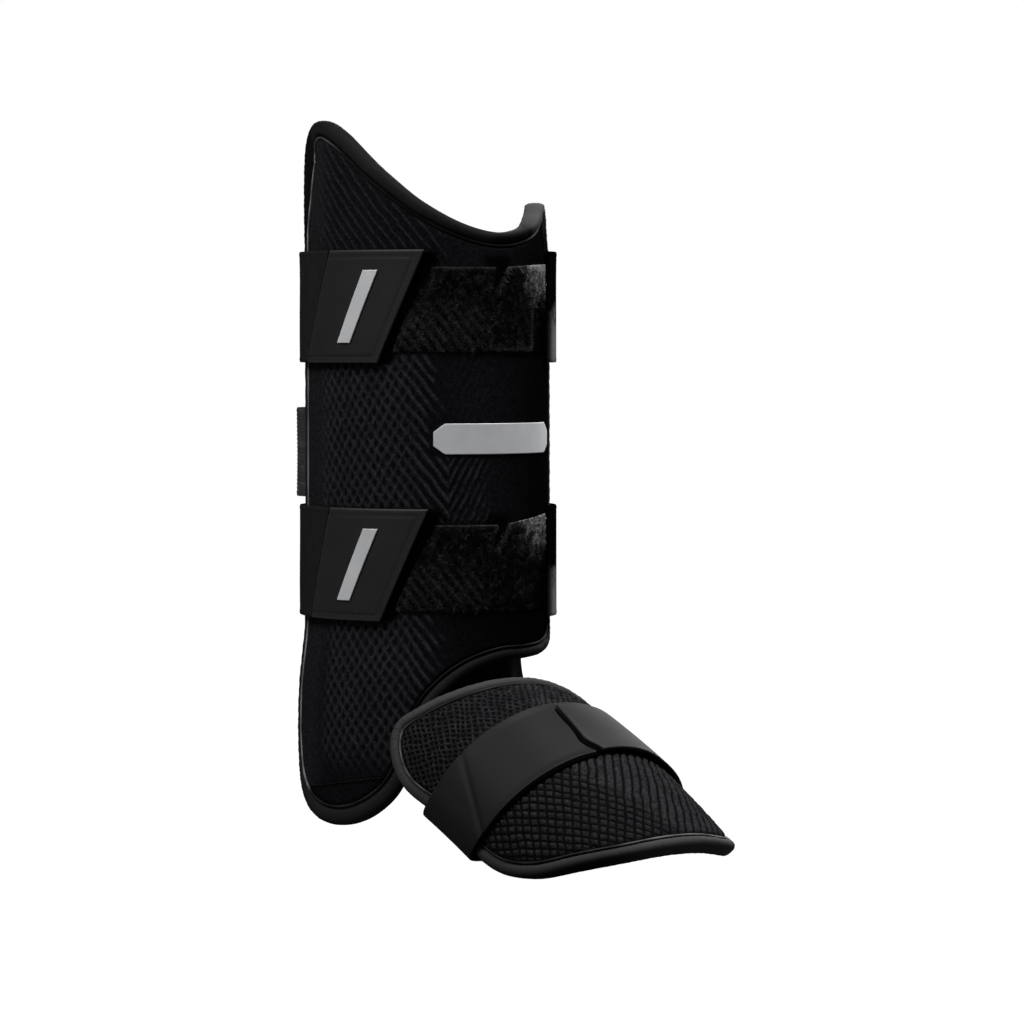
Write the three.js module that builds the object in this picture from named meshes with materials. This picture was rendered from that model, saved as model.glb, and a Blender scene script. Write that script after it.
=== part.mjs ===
import * as THREE from "three";

// A batter's guard for the right shin and instep, as it stands on a leg.
// Sizes are in millimetres and angles in degrees. The leg runs along Z, the toe points
// to -Y and the outer side of the leg is -X. Zero height is half way between the two
// straps, on the axis of the leg. An angle round the leg starts at the front and grows
// towards the outer side.

const GAP = 0.3; // between neighbouring pieces
const BINDING_GAP = 0.5; // between a shell and its binding

// How finely each piece is divided.
const GRIDS = {
  shinShell: { columns: 34, rows: 15 },
  footShell: { columns: 22, rows: 16 },
  strap: { columns: 32, rows: 2 },
  tab: { columns: 9, rows: 3 },
  hookPad: { columns: 6, rows: 3 },
  loopPatch: { columns: 12, rows: 3 },
  tabStrip: { columns: 2, rows: 3 },
  shinStrip: { columns: 14, rows: 2 },
  calfBand: { columns: 30, rows: 2 },
  tongue: { columns: 10, rows: 12 },
  footStrap: { columns: 3, rows: 46 },
  footFlap: { columns: 4, rows: 12 },
};

// The shin shell is a padded wall on an oval section.
const SHIN_WALL = 9;
const SHIN_FRONT_DEPTH = 70;
const SHIN_BACK_DEPTH = 69;
const SHIN_DEGREE_LENGTH = 1.16; // along the skin, for one degree
const SHIN_WIDTHS = [
  { height: -190, halfWidth: 68.5 },
  { height: -150, halfWidth: 68 },
  { height: -125, halfWidth: 66.3 },
  { height: -105, halfWidth: 62 },
  { height: 90, halfWidth: 61.5 },
  { height: 130, halfWidth: 63.5 },
];
// Its outline, a spline through these rows. rim is the width of the edge binding there.
const SHIN_OUTLINE = {
  bottom: [
    { angle: -39.5, height: -110, rim: 6.5 },
    { angle: -27, height: -115.6, rim: 6.5 },
    { angle: -9, height: -117.4, rim: 6.5 },
    { angle: 6, height: -118.2, rim: 6.8 },
    { angle: 20, height: -123.2, rim: 7.2 },
    { angle: 30, height: -131.6, rim: 7.8 },
    { angle: 37.5, height: -142, rim: 8 },
    { angle: 43, height: -158.5, rim: 8 },
    { angle: 48.5, height: -177, rim: 8.3 },
    { angle: 55.5, height: -190, rim: 9 },
    { angle: 68.5, height: -201, rim: 9.5 },
    { angle: 83, height: -205.2, rim: 9.5 },
    { angle: 98, height: -203.2, rim: 9.5 },
  ],
  outerEdge: [
    { angle: 110.5, height: -195.5, rim: 9 },
    { angle: 119.5, height: -181, rim: 7 },
    { angle: 125.5, height: -150, rim: 5.5 },
    { angle: 124.5, height: -104, rim: 5 },
    { angle: 124.5, height: -30, rim: 5 },
    { angle: 124.5, height: 50, rim: 5 },
    { angle: 124.5, height: 101, rim: 5.5 },
    { angle: 124.5, height: 126, rim: 15 },
    { angle: 121.5, height: 153, rim: 20 },
  ],
  top: [
    { angle: 112.5, height: 164, rim: 16 },
    { angle: 102, height: 166.3, rim: 9 },
    { angle: 88, height: 160.5, rim: 7.5 },
    { angle: 63, height: 138.6, rim: 7.5 },
    { angle: 44, height: 122.4, rim: 7.5 },
    { angle: 24, height: 110.9, rim: 7 },
    { angle: 7.5, height: 106.9, rim: 6.5 },
    { angle: -6, height: 108.2, rim: 6 },
    { angle: -16.5, height: 111.5, rim: 5 },
    { angle: -21.8, height: 116.5, rim: 4.5 },
    { angle: -26.5, height: 123, rim: 4.5 },
    { angle: -30.5, height: 117, rim: 4.5 },
  ],
  innerEdge: [
    { angle: -33.5, height: 106, rim: 5 },
    { angle: -42, height: 88, rim: 6 },
    { angle: -50, height: 58, rim: 6.5 },
    { angle: -50, height: 0, rim: 6.5 },
    { angle: -50, height: -55, rim: 6.5 },
    { angle: -46.5, height: -94, rim: 6.5 },
  ],
};

// The foot shell is half a pipe over the instep, on a ridge line that bends down to the toe.
const FOOT_WALL = 7;
const FOOT_START = { forward: 88.5, height: -131, pitch: 23.8 };
const FOOT_BEND_RADIUS = 618;
const FOOT_HALF_WIDTH = 67;
const FOOT_HALF_DEPTH = 60;
const FOOT_DEGREE_LENGTH = 1.11;
// Its outline, by the place along the ridge line and the wrap angle towards the outer side.
const FOOT_OUTLINE = {
  innerEdge: [
    { along: 4, wrap: -43, rim: 6.5 },
    { along: 18, wrap: -53, rim: 6.5 },
    { along: 45, wrap: -56, rim: 6.5 },
    { along: 82, wrap: -56.5, rim: 6.5 },
    { along: 112, wrap: -54, rim: 6.5 },
  ],
  toe: [
    { along: 129.5, wrap: -44, rim: 6.5 },
    { along: 138.5, wrap: -27, rim: 6.5 },
    { along: 140.5, wrap: -5, rim: 7 },
    { along: 138, wrap: 18, rim: 7 },
    { along: 133, wrap: 35, rim: 7 },
    { along: 122, wrap: 55, rim: 7.5 },
  ],
  outerEdge: [
    { along: 109, wrap: 71.5, rim: 7.5 },
    { along: 90, wrap: 83.5, rim: 7.5 },
    { along: 71, wrap: 87.5, rim: 7.5 },
    { along: 55, wrap: 86, rim: 7.5 },
    { along: 30, wrap: 85.5, rim: 7.5 },
    { along: 12, wrap: 87.5, rim: 7.5 },
    { along: -4, wrap: 87, rim: 7.5 },
    { along: -18, wrap: 82, rim: 7.5 },
  ],
  heel: [
    { along: -30, wrap: 71.5, rim: 7 },
    { along: -33.5, wrap: 62, rim: 7 },
    { along: -28, wrap: 48.5, rim: 7 },
    { along: -19.5, wrap: 27, rim: 7 },
    { along: -14, wrap: 6, rim: 6.5 },
    { along: -10.5, wrap: -12, rim: 6.5 },
    { along: -5, wrap: -30, rim: 6.5 },
  ],
};

// The edge binding is a rolled bead. These rows run from the shell's face to the rim's
// middle, as a share of the rim's width and a rise over the shell's face.
const BINDING_FACE = [
  { out: 0, rise: 0.6 },
  { out: 0.4, rise: 1 },
  { out: 0.8, rise: -0.6 },
  { out: 1, rise: -3 },
];

// Two elastic straps close the shin shell. Each ends in a stiff tab with a slanted end.
const STRAP_WIDTH = 59;
const STRAP_THICKNESS = 2;
const STRAP_END = 330;
const STRAP_SEAM_GAP = 0.4; // degrees between the tab and its strap
const STRAP_LIFTS = [
  { angle: 110, lift: 2.7 },
  { angle: 117, lift: 1.8 },
  { angle: 126.5, lift: 1.8 },
  { angle: 150, lift: -6 },
  { angle: 180, lift: -9 },
  { angle: 240, lift: -9 },
  { angle: 285, lift: -2 },
  { angle: 301, lift: 2.7 },
  { angle: 316, lift: 2.7 },
  { angle: 324, lift: 1.8 },
  { angle: 329.5, lift: 0.5 },
];
const CLOSURES = [
  { place: "upper", centre: 68, endTop: 43.6, endBottom: 64.7, seamTop: 89.5, seamBottom: 107.7 },
  { place: "lower", centre: -67, endTop: 42, endBottom: 63.3, seamTop: 89.7, seamBottom: 103.6 },
];
const TAB_LIFT = 2.7;
const TAB_THICKNESS = 2.3;

// Under each tab a hook pad reaches out past the slanted end and grips a loop patch.
const HOOK_LIFT = 1.4;
const HOOK_THICKNESS = 1;
const HOOK_REACH = 6; // degrees past the tab's end
const HOOK_COVER = 24; // degrees under the tab
const HOOK_HEIGHT = STRAP_WIDTH - 2;
const LOOP_LIFT = 0.4;
const LOOP_THICKNESS = 0.8;
const LOOP_START = -29;
const LOOP_COVER = 6; // degrees under the tab
const LOOP_EDGES = { upper: { top: 88.5, bottom: 44 }, lower: { top: -46, bottom: -91.5 } };
// The patch's top edge has one notch. share runs from the inner end to the slanted one.
const LOOP_COLUMNS = [
  { share: 0, drop: 0 },
  { share: 0.11, drop: 0 },
  { share: 0.22, drop: 0 },
  { share: 0.33, drop: 0 },
  { share: 0.43, drop: 0 },
  { share: 0.47, drop: 16 },
  { share: 0.5, drop: 0 },
  { share: 0.58, drop: 0 },
  { share: 0.66, drop: 0 },
  { share: 0.75, drop: 0 },
  { share: 0.83, drop: 0 },
  { share: 0.92, drop: 0 },
  { share: 1, drop: 0 },
];

// Plain silver strips: a slanted one on each tab and a level one across the shin.
const STRIP_THICKNESS = 0.6;
const TAB_STRIP = { angle: 74, width: 8, height: 38 };
const SHIN_STRIP = { from: -33, to: 40, height: 16, centre: -1, taper: 0.45 };

// A band behind the calf is sewn inside both long edges of the shell.
const CALF_BAND = { top: 14, bottom: -34, from: 108, to: 322, thickness: 2 };
const CALF_BAND_LIFTS = [
  { angle: 128.5, lift: -12.4 },
  { angle: 134, lift: -6 },
  { angle: 142, lift: 4 },
  { angle: 150, lift: 6.5 },
  { angle: 165, lift: 4 },
  { angle: 180, lift: 0 },
  { angle: 250, lift: -5 },
  { angle: 298, lift: -9.5 },
  { angle: 306, lift: -12.4 },
];

// The ankle tongue hangs inside the shin shell and runs under the foot shell.
const TONGUE = { thickness: 2.5, from: -20, to: 46, top: -96, back: -26, reach: 18 };
const TONGUE_DROPS = [
  { angle: -20, drop: -146, lift: -4 },
  { angle: 10, drop: -152, lift: -5 },
  { angle: 46, drop: -170, lift: -8.5 },
];
const TONGUE_SEAT = -0.5; // its sewn ends under the inner faces
const TONGUE_DIP = -4.5; // under the foot shell's binding

// The foot strap lies over the instep, folds round the outer edge and passes under the foot.
const FOOT_STRAP = { start: 20, width: 46, thickness: 2, from: -21, to: 88 };
const FOOT_STRAP_LIFTS = [
  { wrap: 70, lift: 0.5 },
  { wrap: 79, lift: 1.6 },
];
const FOOT_STRAP_STEPS = 14;
// The stretch under the foot, seen along the foot, outer side first.
const FOOT_STRAP_UNDER = [
  { outer: 67.2, depth: 58.6 },
  { outer: 63, depth: 59.4 },
  { outer: 20, depth: 60 },
  { outer: -20, depth: 59.5 },
  { outer: -40, depth: 56 },
  { outer: -49.5, depth: 47.5 },
  { outer: -49, depth: 37.5 },
];
const FOOT_STRAP_TAIL = { from: -55, to: -45, lift: -10.7 };

// The flap comes up from the inner edge and covers the strap's end on the ridge. Its edge
// towards the toe stands off the shell by flare.
const FOOT_FLAP = { thickness: 2, endStart: 4.5, endFinish: 10.2, low: -57 };
const FOOT_FLAP_ROWS = [
  { wrap: -57, lift: 1.5, flare: 0, start: 26, finish: 72 },
  { wrap: -40, lift: 1.5, flare: 2, start: 25, finish: 73 },
  { wrap: -27, lift: 2.3, flare: 2.6, start: 24, finish: 71 },
  { wrap: -22, lift: 2.9, flare: 2.4, start: 24, finish: 68.5 },
  { wrap: -6, lift: 2.9, flare: 1, start: 24, finish: 67 },
  { wrap: 10.2, lift: 2.9, flare: 0, start: 24, finish: 66 },
];

// Reads a value from rows sorted by one column, with straight lines between rows.
function valueAt(rows, column, value, place) {
  const next = rows.findIndex((row) => row[column] >= place);
  if (next === 0) return rows[0][value];
  if (next < 0) return rows.at(-1)[value];
  const [before, after] = [rows[next - 1], rows[next]];
  return THREE.MathUtils.mapLinear(place, before[column], after[column], before[value], after[value]);
}

// A point on the shin's oval, raised from the shell's outer face by lift.
function onShin(angle, height, lift) {
  const turn = THREE.MathUtils.degToRad(angle);
  const width = valueAt(SHIN_WIDTHS, "height", "halfWidth", height);
  const depth = Math.cos(turn) > 0 ? SHIN_FRONT_DEPTH : SHIN_BACK_DEPTH;
  const point = new THREE.Vector3(-width * Math.sin(turn), -depth * Math.cos(turn), height);
  const outward = new THREE.Vector3(-depth * Math.sin(turn), -width * Math.cos(turn), 0);
  return point.addScaledVector(outward.normalize(), lift);
}

// A point seen along the foot: outer is the distance to the outer side of the ridge line
// and depth the distance under it.
function footSection(wrap, lift) {
  const turn = THREE.MathUtils.degToRad(wrap);
  const outward = new THREE.Vector2(FOOT_HALF_DEPTH * Math.sin(turn), FOOT_HALF_WIDTH * Math.cos(turn));
  outward.normalize();
  return {
    outer: FOOT_HALF_WIDTH * Math.sin(turn) + outward.x * lift,
    depth: FOOT_HALF_DEPTH * (1 - Math.cos(turn)) - outward.y * lift,
  };
}

// Places a point of that section in the foot's own frame, where the ridge line starts at
// the origin along -Y and bends down.
function inFoot(along, { outer, depth }) {
  const bend = along / FOOT_BEND_RADIUS;
  const reach = FOOT_BEND_RADIUS - depth;
  return new THREE.Vector3(-outer, -reach * Math.sin(bend), reach * Math.cos(bend) - FOOT_BEND_RADIUS);
}

function onFoot(along, wrap, lift) {
  return inFoot(along, footSection(wrap, lift));
}

// A closed solid between two grids of points, outer and inner, joined round their edge.
// Each function gives the point at a column and a row.
function slab({ columns, rows }, outer, inner) {
  const points = [];
  for (const face of [outer, inner]) {
    for (let row = 0; row <= rows; row++) {
      for (let column = 0; column <= columns; column++) points.push(face(column, row));
    }
  }
  const side = (columns + 1) * (rows + 1);
  const out = (column, row) => row * (columns + 1) + column;
  const back = (column, row) => side + out(column, row);
  const index = [];
  const quad = (a, b, c, d) => index.push(a, b, c, a, c, d);
  for (let row = 0; row < rows; row++) {
    for (let column = 0; column < columns; column++) {
      const [right, up] = [column + 1, row + 1];
      quad(out(column, row), out(column, up), out(right, up), out(right, row));
      quad(back(column, row), back(right, row), back(right, up), back(column, up));
    }
    quad(out(0, row + 1), out(0, row), back(0, row), back(0, row + 1));
    quad(out(columns, row), out(columns, row + 1), back(columns, row + 1), back(columns, row));
  }
  for (let column = 0; column < columns; column++) {
    const right = column + 1;
    quad(out(column, 0), out(right, 0), back(right, 0), back(column, 0));
    quad(out(right, rows), out(column, rows), back(column, rows), back(right, rows));
  }
  return new THREE.BufferGeometry().setFromPoints(points).setIndex(index);
}

// A closed ring: one section at each place round a loop, each section a closed polygon.
function ring(sections) {
  const sides = sections[0].length;
  const index = [];
  sections.forEach((_, place) => {
    const here = place * sides;
    const next = ((place + 1) % sections.length) * sides;
    for (let k = 0; k < sides; k++) {
      const turn = (k + 1) % sides;
      index.push(here + k, next + k, next + turn, here + k, next + turn, here + turn);
    }
  });
  return new THREE.BufferGeometry().setFromPoints(sections.flat()).setIndex(index);
}

// Points round an outline laid out flat, with the same number on facing sides. Each knows
// the direction out of the outline and the rim's width.
function flatLoop(sides, flatten, { columns, rows }) {
  const all = Object.values(sides).flat();
  const places = all.map((row) => new THREE.Vector3(...flatten(row), row.rim));
  const curve = new THREE.CatmullRomCurve3(places, true, "centripetal");
  const loop = [];
  let first = 0;
  Object.values(sides).forEach((side, number) => {
    const count = number % 2 === 0 ? columns : rows;
    for (let k = 0; k < count; k++) {
      loop.push(curve.getPoint((first + (k / count) * side.length) / all.length));
    }
    first += side.length;
  });
  return loop.map(({ x, y, z }, k) => {
    const before = loop.at(k - 1);
    const after = loop[(k + 1) % loop.length];
    const out = new THREE.Vector2(after.y - before.y, before.x - after.x).normalize();
    return { point: new THREE.Vector2(x, y), out, rim: z };
  });
}

// Fills a loop of four sides with a grid that follows all of them.
function fillLoop(loop, { columns, rows }) {
  const corner = (column, row) => {
    if (row === 0) return loop[column];
    if (column === columns) return loop[columns + row];
    if (row === rows) return loop[2 * columns + rows - column];
    return loop[(2 * (columns + rows) - row) % loop.length];
  };
  return (column, row) => {
    const [u, v] = [column / columns, row / rows];
    const sum = new THREE.Vector2();
    sum.addScaledVector(corner(column, 0), 1 - v).addScaledVector(corner(column, rows), v);
    sum.addScaledVector(corner(0, row), 1 - u).addScaledVector(corner(columns, row), u);
    sum.addScaledVector(corner(0, 0), -(1 - u) * (1 - v)).addScaledVector(corner(columns, 0), -u * (1 - v));
    sum.addScaledVector(corner(0, rows), -(1 - u) * v).addScaledVector(corner(columns, rows), -u * v);
    return sum;
  };
}

// A padded shell and the bead that binds its edge, both laid over a surface.
function boundShell(loop, counts, wall, onSurface) {
  const rim = loop.map(({ point, out, rim }) => point.clone().addScaledVector(out, -rim));
  const grid = fillLoop(rim, counts);
  const shell = slab(
    counts,
    (column, row) => onSurface(grid(column, row), 0),
    (column, row) => onSurface(grid(column, row), -wall),
  );
  const underside = BINDING_FACE.map(({ out, rise }) => ({ out, rise: -wall - rise })).reverse();
  const profile = [...BINDING_FACE, ...underside];
  const binding = ring(
    loop.map(({ point, out, rim }) =>
      profile.map((row) => {
        const inset = (1 - row.out) * (rim - BINDING_GAP);
        return onSurface(point.clone().addScaledVector(out, -inset), row.rise);
      }),
    ),
  );
  return { shell, binding };
}

// A band on the shin between two heights. angleAt gives the angle at a share of the band's
// length and of its height, and liftAt the lift of its inner face.
function shinBand(counts, thickness, angleAt, heightAt, liftAt) {
  const place = (raise) => (column, row) => {
    const [u, v] = [column / counts.columns, row / counts.rows];
    const angle = angleAt(u, v);
    return onShin(angle, heightAt(u, v), liftAt(angle) + raise);
  };
  return slab(counts, place(thickness), place(0));
}

const lerp = THREE.MathUtils.lerp;

function strapBand({ centre, seamTop, seamBottom }) {
  return shinBand(
    GRIDS.strap,
    STRAP_THICKNESS,
    (u, v) => lerp(lerp(seamBottom, seamTop, v) + STRAP_SEAM_GAP, STRAP_END, u),
    (u, v) => centre + (v - 0.5) * STRAP_WIDTH,
    (angle) => valueAt(STRAP_LIFTS, "angle", "lift", angle),
  );
}

function strapTab({ centre, endTop, endBottom, seamTop, seamBottom }) {
  return shinBand(
    GRIDS.tab,
    TAB_THICKNESS,
    (u, v) => lerp(lerp(endBottom, endTop, v), lerp(seamBottom, seamTop, v), u),
    (u, v) => centre + (v - 0.5) * STRAP_WIDTH,
    () => TAB_LIFT,
  );
}

function hookPad({ centre, endTop, endBottom }) {
  return shinBand(
    GRIDS.hookPad,
    HOOK_THICKNESS,
    (u, v) => lerp(endBottom, endTop, v) + lerp(-HOOK_REACH, HOOK_COVER, u),
    (u, v) => centre + (v - 0.5) * HOOK_HEIGHT,
    () => HOOK_LIFT,
  );
}

function loopPatch({ place, endTop, endBottom }) {
  const { top, bottom } = LOOP_EDGES[place];
  const column = (u) => LOOP_COLUMNS[Math.round(u * GRIDS.loopPatch.columns)];
  return shinBand(
    GRIDS.loopPatch,
    LOOP_THICKNESS,
    (u, v) => lerp(LOOP_START, lerp(endBottom, endTop, v) + LOOP_COVER, column(u).share),
    (u, v) => lerp(bottom, top - column(u).drop, v),
    () => LOOP_LIFT,
  );
}

function tabStrip({ centre, endTop, endBottom }) {
  const slant = ((endTop - endBottom) * TAB_STRIP.height) / STRAP_WIDTH;
  const span = TAB_STRIP.width / SHIN_DEGREE_LENGTH;
  return shinBand(
    GRIDS.tabStrip,
    STRIP_THICKNESS,
    (u, v) => TAB_STRIP.angle + slant * (v - 0.5) + span * (u - 0.5),
    (u, v) => centre + (v - 0.5) * TAB_STRIP.height,
    () => TAB_LIFT + TAB_THICKNESS + GAP,
  );
}

function shinStrip() {
  const { from, to, height, centre, taper } = SHIN_STRIP;
  const share = (u) => (u === 0 || u === 1 ? taper : 1);
  return shinBand(
    GRIDS.shinStrip,
    STRIP_THICKNESS,
    (u) => lerp(from, to, u),
    (u, v) => centre + (v - 0.5) * height * share(u),
    () => GAP,
  );
}

function calfBand() {
  const { top, bottom, from, to, thickness } = CALF_BAND;
  return shinBand(
    GRIDS.calfBand,
    thickness,
    (u) => lerp(from, to, u),
    (u, v) => lerp(bottom, top, v),
    (angle) => valueAt(CALF_BAND_LIFTS, "angle", "lift", angle),
  );
}

// The tongue's columns cross the ankle and its rows climb from under the foot to the shin.
function ankleTongue(footFrame) {
  const { thickness, from, to, top, back, reach } = TONGUE;
  const { columns, rows } = GRIDS.tongue;
  const place = (raise) => (column, row) => {
    const angle = lerp(from, to, column / columns);
    const drop = valueAt(TONGUE_DROPS, "angle", "drop", angle);
    const dropLift = valueAt(TONGUE_DROPS, "angle", "lift", angle);
    const footFace = raise - FOOT_WALL;
    const shinFace = raise - SHIN_WALL;
    const curve = new THREE.CubicBezierCurve3(
      footFrame.localToWorld(onFoot(reach, angle, TONGUE_SEAT + footFace)),
      footFrame.localToWorld(onFoot(back, angle, TONGUE_DIP + footFace)),
      onShin(angle, drop, dropLift + shinFace),
      onShin(angle, top, TONGUE_SEAT + shinFace),
    );
    return curve.getPoint(row / rows);
  };
  return slab(GRIDS.tongue, place(0), place(-thickness));
}

// The foot strap's inner face, seen along the foot, from the ridge over the outer edge and
// back under the foot to the inner edge.
function footStrapRoute() {
  const { from, to } = FOOT_STRAP;
  const over = [];
  for (let step = 0; step <= FOOT_STRAP_STEPS; step++) {
    const wrap = lerp(from, to - GAP, step / FOOT_STRAP_STEPS);
    over.push(footSection(wrap, valueAt(FOOT_STRAP_LIFTS, "wrap", "lift", wrap)));
  }
  const { from: tailFrom, to: tailTo, lift } = FOOT_STRAP_TAIL;
  const tail = [footSection(tailFrom, lift), footSection(tailTo, lift)];
  const places = [...over, ...FOOT_STRAP_UNDER, ...tail];
  return new THREE.CatmullRomCurve3(places.map(({ outer, depth }) => new THREE.Vector3(outer, depth, 0)));
}

function footStrap() {
  const { start, width, thickness } = FOOT_STRAP;
  const route = footStrapRoute();
  const { columns, rows } = GRIDS.footStrap;
  const place = (raise) => (column, row) => {
    const share = row / rows;
    const { x, y } = route.getPoint(share);
    const tangent = route.getTangent(share);
    const outer = x + tangent.y * raise;
    const depth = y - tangent.x * raise;
    return inFoot(start + (column / columns) * width, { outer, depth });
  };
  return slab(GRIDS.footStrap, place(thickness), place(0));
}

function footFlap() {
  const { thickness, endStart, endFinish, low } = FOOT_FLAP;
  const { columns, rows } = GRIDS.footFlap;
  const place = (raise) => (column, row) => {
    const share = column / columns;
    const wrap = lerp(low, lerp(endStart, endFinish, share), row / rows);
    const read = (value) => valueAt(FOOT_FLAP_ROWS, "wrap", value, wrap);
    const lift = read("lift") + read("flare") * share;
    return onFoot(lerp(read("start"), read("finish"), share), wrap, lift + raise);
  };
  return slab(GRIDS.footFlap, place(thickness), place(0));
}

const finishes = {
  shellFabric: { color: 0x101113, roughness: 0.8, metalness: 0 },
  binding: { color: 0x1d1e20, roughness: 0.7, metalness: 0 },
  elastic: { color: 0x151618, roughness: 0.85, metalness: 0 },
  tab: { color: 0x1c1c1e, roughness: 0.6, metalness: 0 },
  hook: { color: 0x060606, roughness: 0.9, metalness: 0 },
  loop: { color: 0x0d0d0f, roughness: 0.95, metalness: 0 },
  silver: { color: 0xc9cbce, roughness: 0.35, metalness: 0.3 },
};

function piece(name, geometry, finish) {
  geometry.computeVertexNormals();
  const mesh = new THREE.Mesh(geometry, new THREE.MeshStandardMaterial(finishes[finish]));
  mesh.name = name;
  return mesh;
}

function shinGroup() {
  const group = new THREE.Group();
  const flatten = ({ angle, height }) => [angle * SHIN_DEGREE_LENGTH, height];
  const loop = flatLoop(SHIN_OUTLINE, flatten, GRIDS.shinShell);
  const { shell, binding } = boundShell(loop, GRIDS.shinShell, SHIN_WALL, (point, lift) =>
    onShin(point.x / SHIN_DEGREE_LENGTH, point.y, lift),
  );
  group.add(piece("shin_shell", shell, "shellFabric"));
  group.add(piece("shin_binding", binding, "binding"));
  for (const closure of CLOSURES) {
    group.add(piece("loop_patch_" + closure.place, loopPatch(closure), "loop"));
    group.add(piece("hook_pad_" + closure.place, hookPad(closure), "hook"));
    group.add(piece("strap_tab_" + closure.place, strapTab(closure), "tab"));
    group.add(piece("strap_" + closure.place, strapBand(closure), "elastic"));
    group.add(piece("tab_strip_" + closure.place, tabStrip(closure), "silver"));
  }
  group.add(piece("calf_band", calfBand(), "elastic"));
  group.add(piece("shin_strip", shinStrip(), "silver"));
  return group;
}

function footGroup() {
  const group = new THREE.Group();
  group.position.set(0, -FOOT_START.forward, FOOT_START.height);
  group.rotation.x = THREE.MathUtils.degToRad(FOOT_START.pitch);
  const flatten = ({ along, wrap }) => [along, wrap * FOOT_DEGREE_LENGTH];
  const loop = flatLoop(FOOT_OUTLINE, flatten, GRIDS.footShell);
  const { shell, binding } = boundShell(loop, GRIDS.footShell, FOOT_WALL, (point, lift) =>
    onFoot(point.x, point.y / FOOT_DEGREE_LENGTH, lift),
  );
  group.add(piece("foot_shell", shell, "shellFabric"));
  group.add(piece("foot_binding", binding, "binding"));
  group.add(piece("foot_strap", footStrap(), "elastic"));
  group.add(piece("foot_flap", footFlap(), "tab"));
  return group;
}

const guard = new THREE.Group();
const shin = shinGroup();
const foot = footGroup();
guard.add(shin, foot);
guard.updateMatrixWorld(true);
shin.add(piece("ankle_tongue", ankleTongue(foot), "elastic"));

export default guard;
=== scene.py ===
"""A batter's guard for the right shin and instep: the finish of its padded shells, straps and tabs.

Sizes in the tables are in millimetres and angles in degrees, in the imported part's own frame.
An angle round the leg starts at the front and grows towards the outer side.
"""
import math

import bmesh
import bpy
import numpy as np
from mathutils import Matrix, Vector


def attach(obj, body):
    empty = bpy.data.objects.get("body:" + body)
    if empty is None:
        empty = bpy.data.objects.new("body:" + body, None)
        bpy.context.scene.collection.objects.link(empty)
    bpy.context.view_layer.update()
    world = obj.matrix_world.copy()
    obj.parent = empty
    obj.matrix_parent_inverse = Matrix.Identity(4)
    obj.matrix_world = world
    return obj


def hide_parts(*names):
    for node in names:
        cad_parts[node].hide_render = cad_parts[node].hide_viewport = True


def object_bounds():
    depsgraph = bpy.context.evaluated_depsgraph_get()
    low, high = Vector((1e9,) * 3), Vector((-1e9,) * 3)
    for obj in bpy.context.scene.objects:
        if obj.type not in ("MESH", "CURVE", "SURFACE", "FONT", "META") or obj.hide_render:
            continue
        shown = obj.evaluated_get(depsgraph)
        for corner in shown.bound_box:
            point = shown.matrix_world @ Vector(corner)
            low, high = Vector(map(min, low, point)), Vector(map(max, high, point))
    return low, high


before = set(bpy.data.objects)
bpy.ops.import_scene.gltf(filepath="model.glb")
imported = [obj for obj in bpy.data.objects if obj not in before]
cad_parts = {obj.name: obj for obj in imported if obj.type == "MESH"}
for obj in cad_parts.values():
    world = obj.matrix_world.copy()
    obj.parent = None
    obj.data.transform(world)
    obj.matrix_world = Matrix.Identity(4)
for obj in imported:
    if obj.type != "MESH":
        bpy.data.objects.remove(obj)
CAD_BOX = [list(corner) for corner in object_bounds()]

bl_info = {
    "name": "Batter's leg guard",
    "version": (1, 0, 0),
    "blender": (4, 5, 0),
    "location": "View3D > Sidebar > Leg guard",
    "description": "Builds the shells, bindings, straps and tabs of a batter's leg guard",
    "category": "Object",
}

MM = 0.001
SEED = 41
BLOTCH_SEEDS = {
    "pile": 5, "fine_pile": 6, "worn": 7, "fine_worn": 8, "across": 11, "along": 12, "shin_ribs": 13,
    "foot_ribs": 14, "front_ribs": 15, "band": 17, "chevron": 19, "panel": 21, "fine_end_darkening": 22,
}

# The shin shell, on an oval section
SHIN_WALL = 9.0
SHIN_FRONT_DEPTH = 70.0
SHIN_BACK_DEPTH = 69.0
SHIN_DEGREE = 1.16
SHIN_WIDTHS = np.array([
    # height, half width
    (-190, 68.5), (-150, 68), (-125, 66.3), (-105, 62), (90, 61.5), (130, 63.5),
])
# Each row of an outline side is an angle, a height and the width of the edge binding there
SHIN_OUTLINE = {
    "bottom": [
        (-39.5, -110, 6.5), (-27, -115.6, 6.5), (-9, -117.4, 6.5), (6, -118.2, 6.8), (20, -123.2, 7.2),
        (30, -131.6, 7.8), (37.5, -142, 8), (43, -158.5, 8), (48.5, -177, 8.3), (55.5, -190, 9),
        (68.5, -201, 9.5), (83, -205.2, 9.5), (98, -203.2, 9.5),
    ],
    "outer_edge": [
        (110.5, -195.5, 9), (119.5, -181, 7), (125.5, -150, 5.5), (124.5, -104, 5), (124.5, -30, 5),
        (124.5, 50, 5), (124.5, 101, 5.5), (124.5, 126, 15), (121.5, 153, 20),
    ],
    "top": [
        (112.5, 164, 16), (102, 166.3, 9), (88, 160.5, 7.5), (63, 138.6, 7.5), (44, 122.4, 7.5),
        (24, 110.9, 7), (7.5, 106.9, 6.5), (-6, 108.2, 6), (-16.5, 111.5, 5), (-21.8, 116.5, 4.5),
        (-26.5, 123, 4.5), (-30.5, 117, 4.5),
    ],
    "inner_edge": [
        (-33.5, 106, 5), (-42, 88, 6), (-50, 58, 6.5), (-50, 0, 6.5), (-50, -55, 6.5), (-46.5, -94, 6.5),
    ],
}

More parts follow.
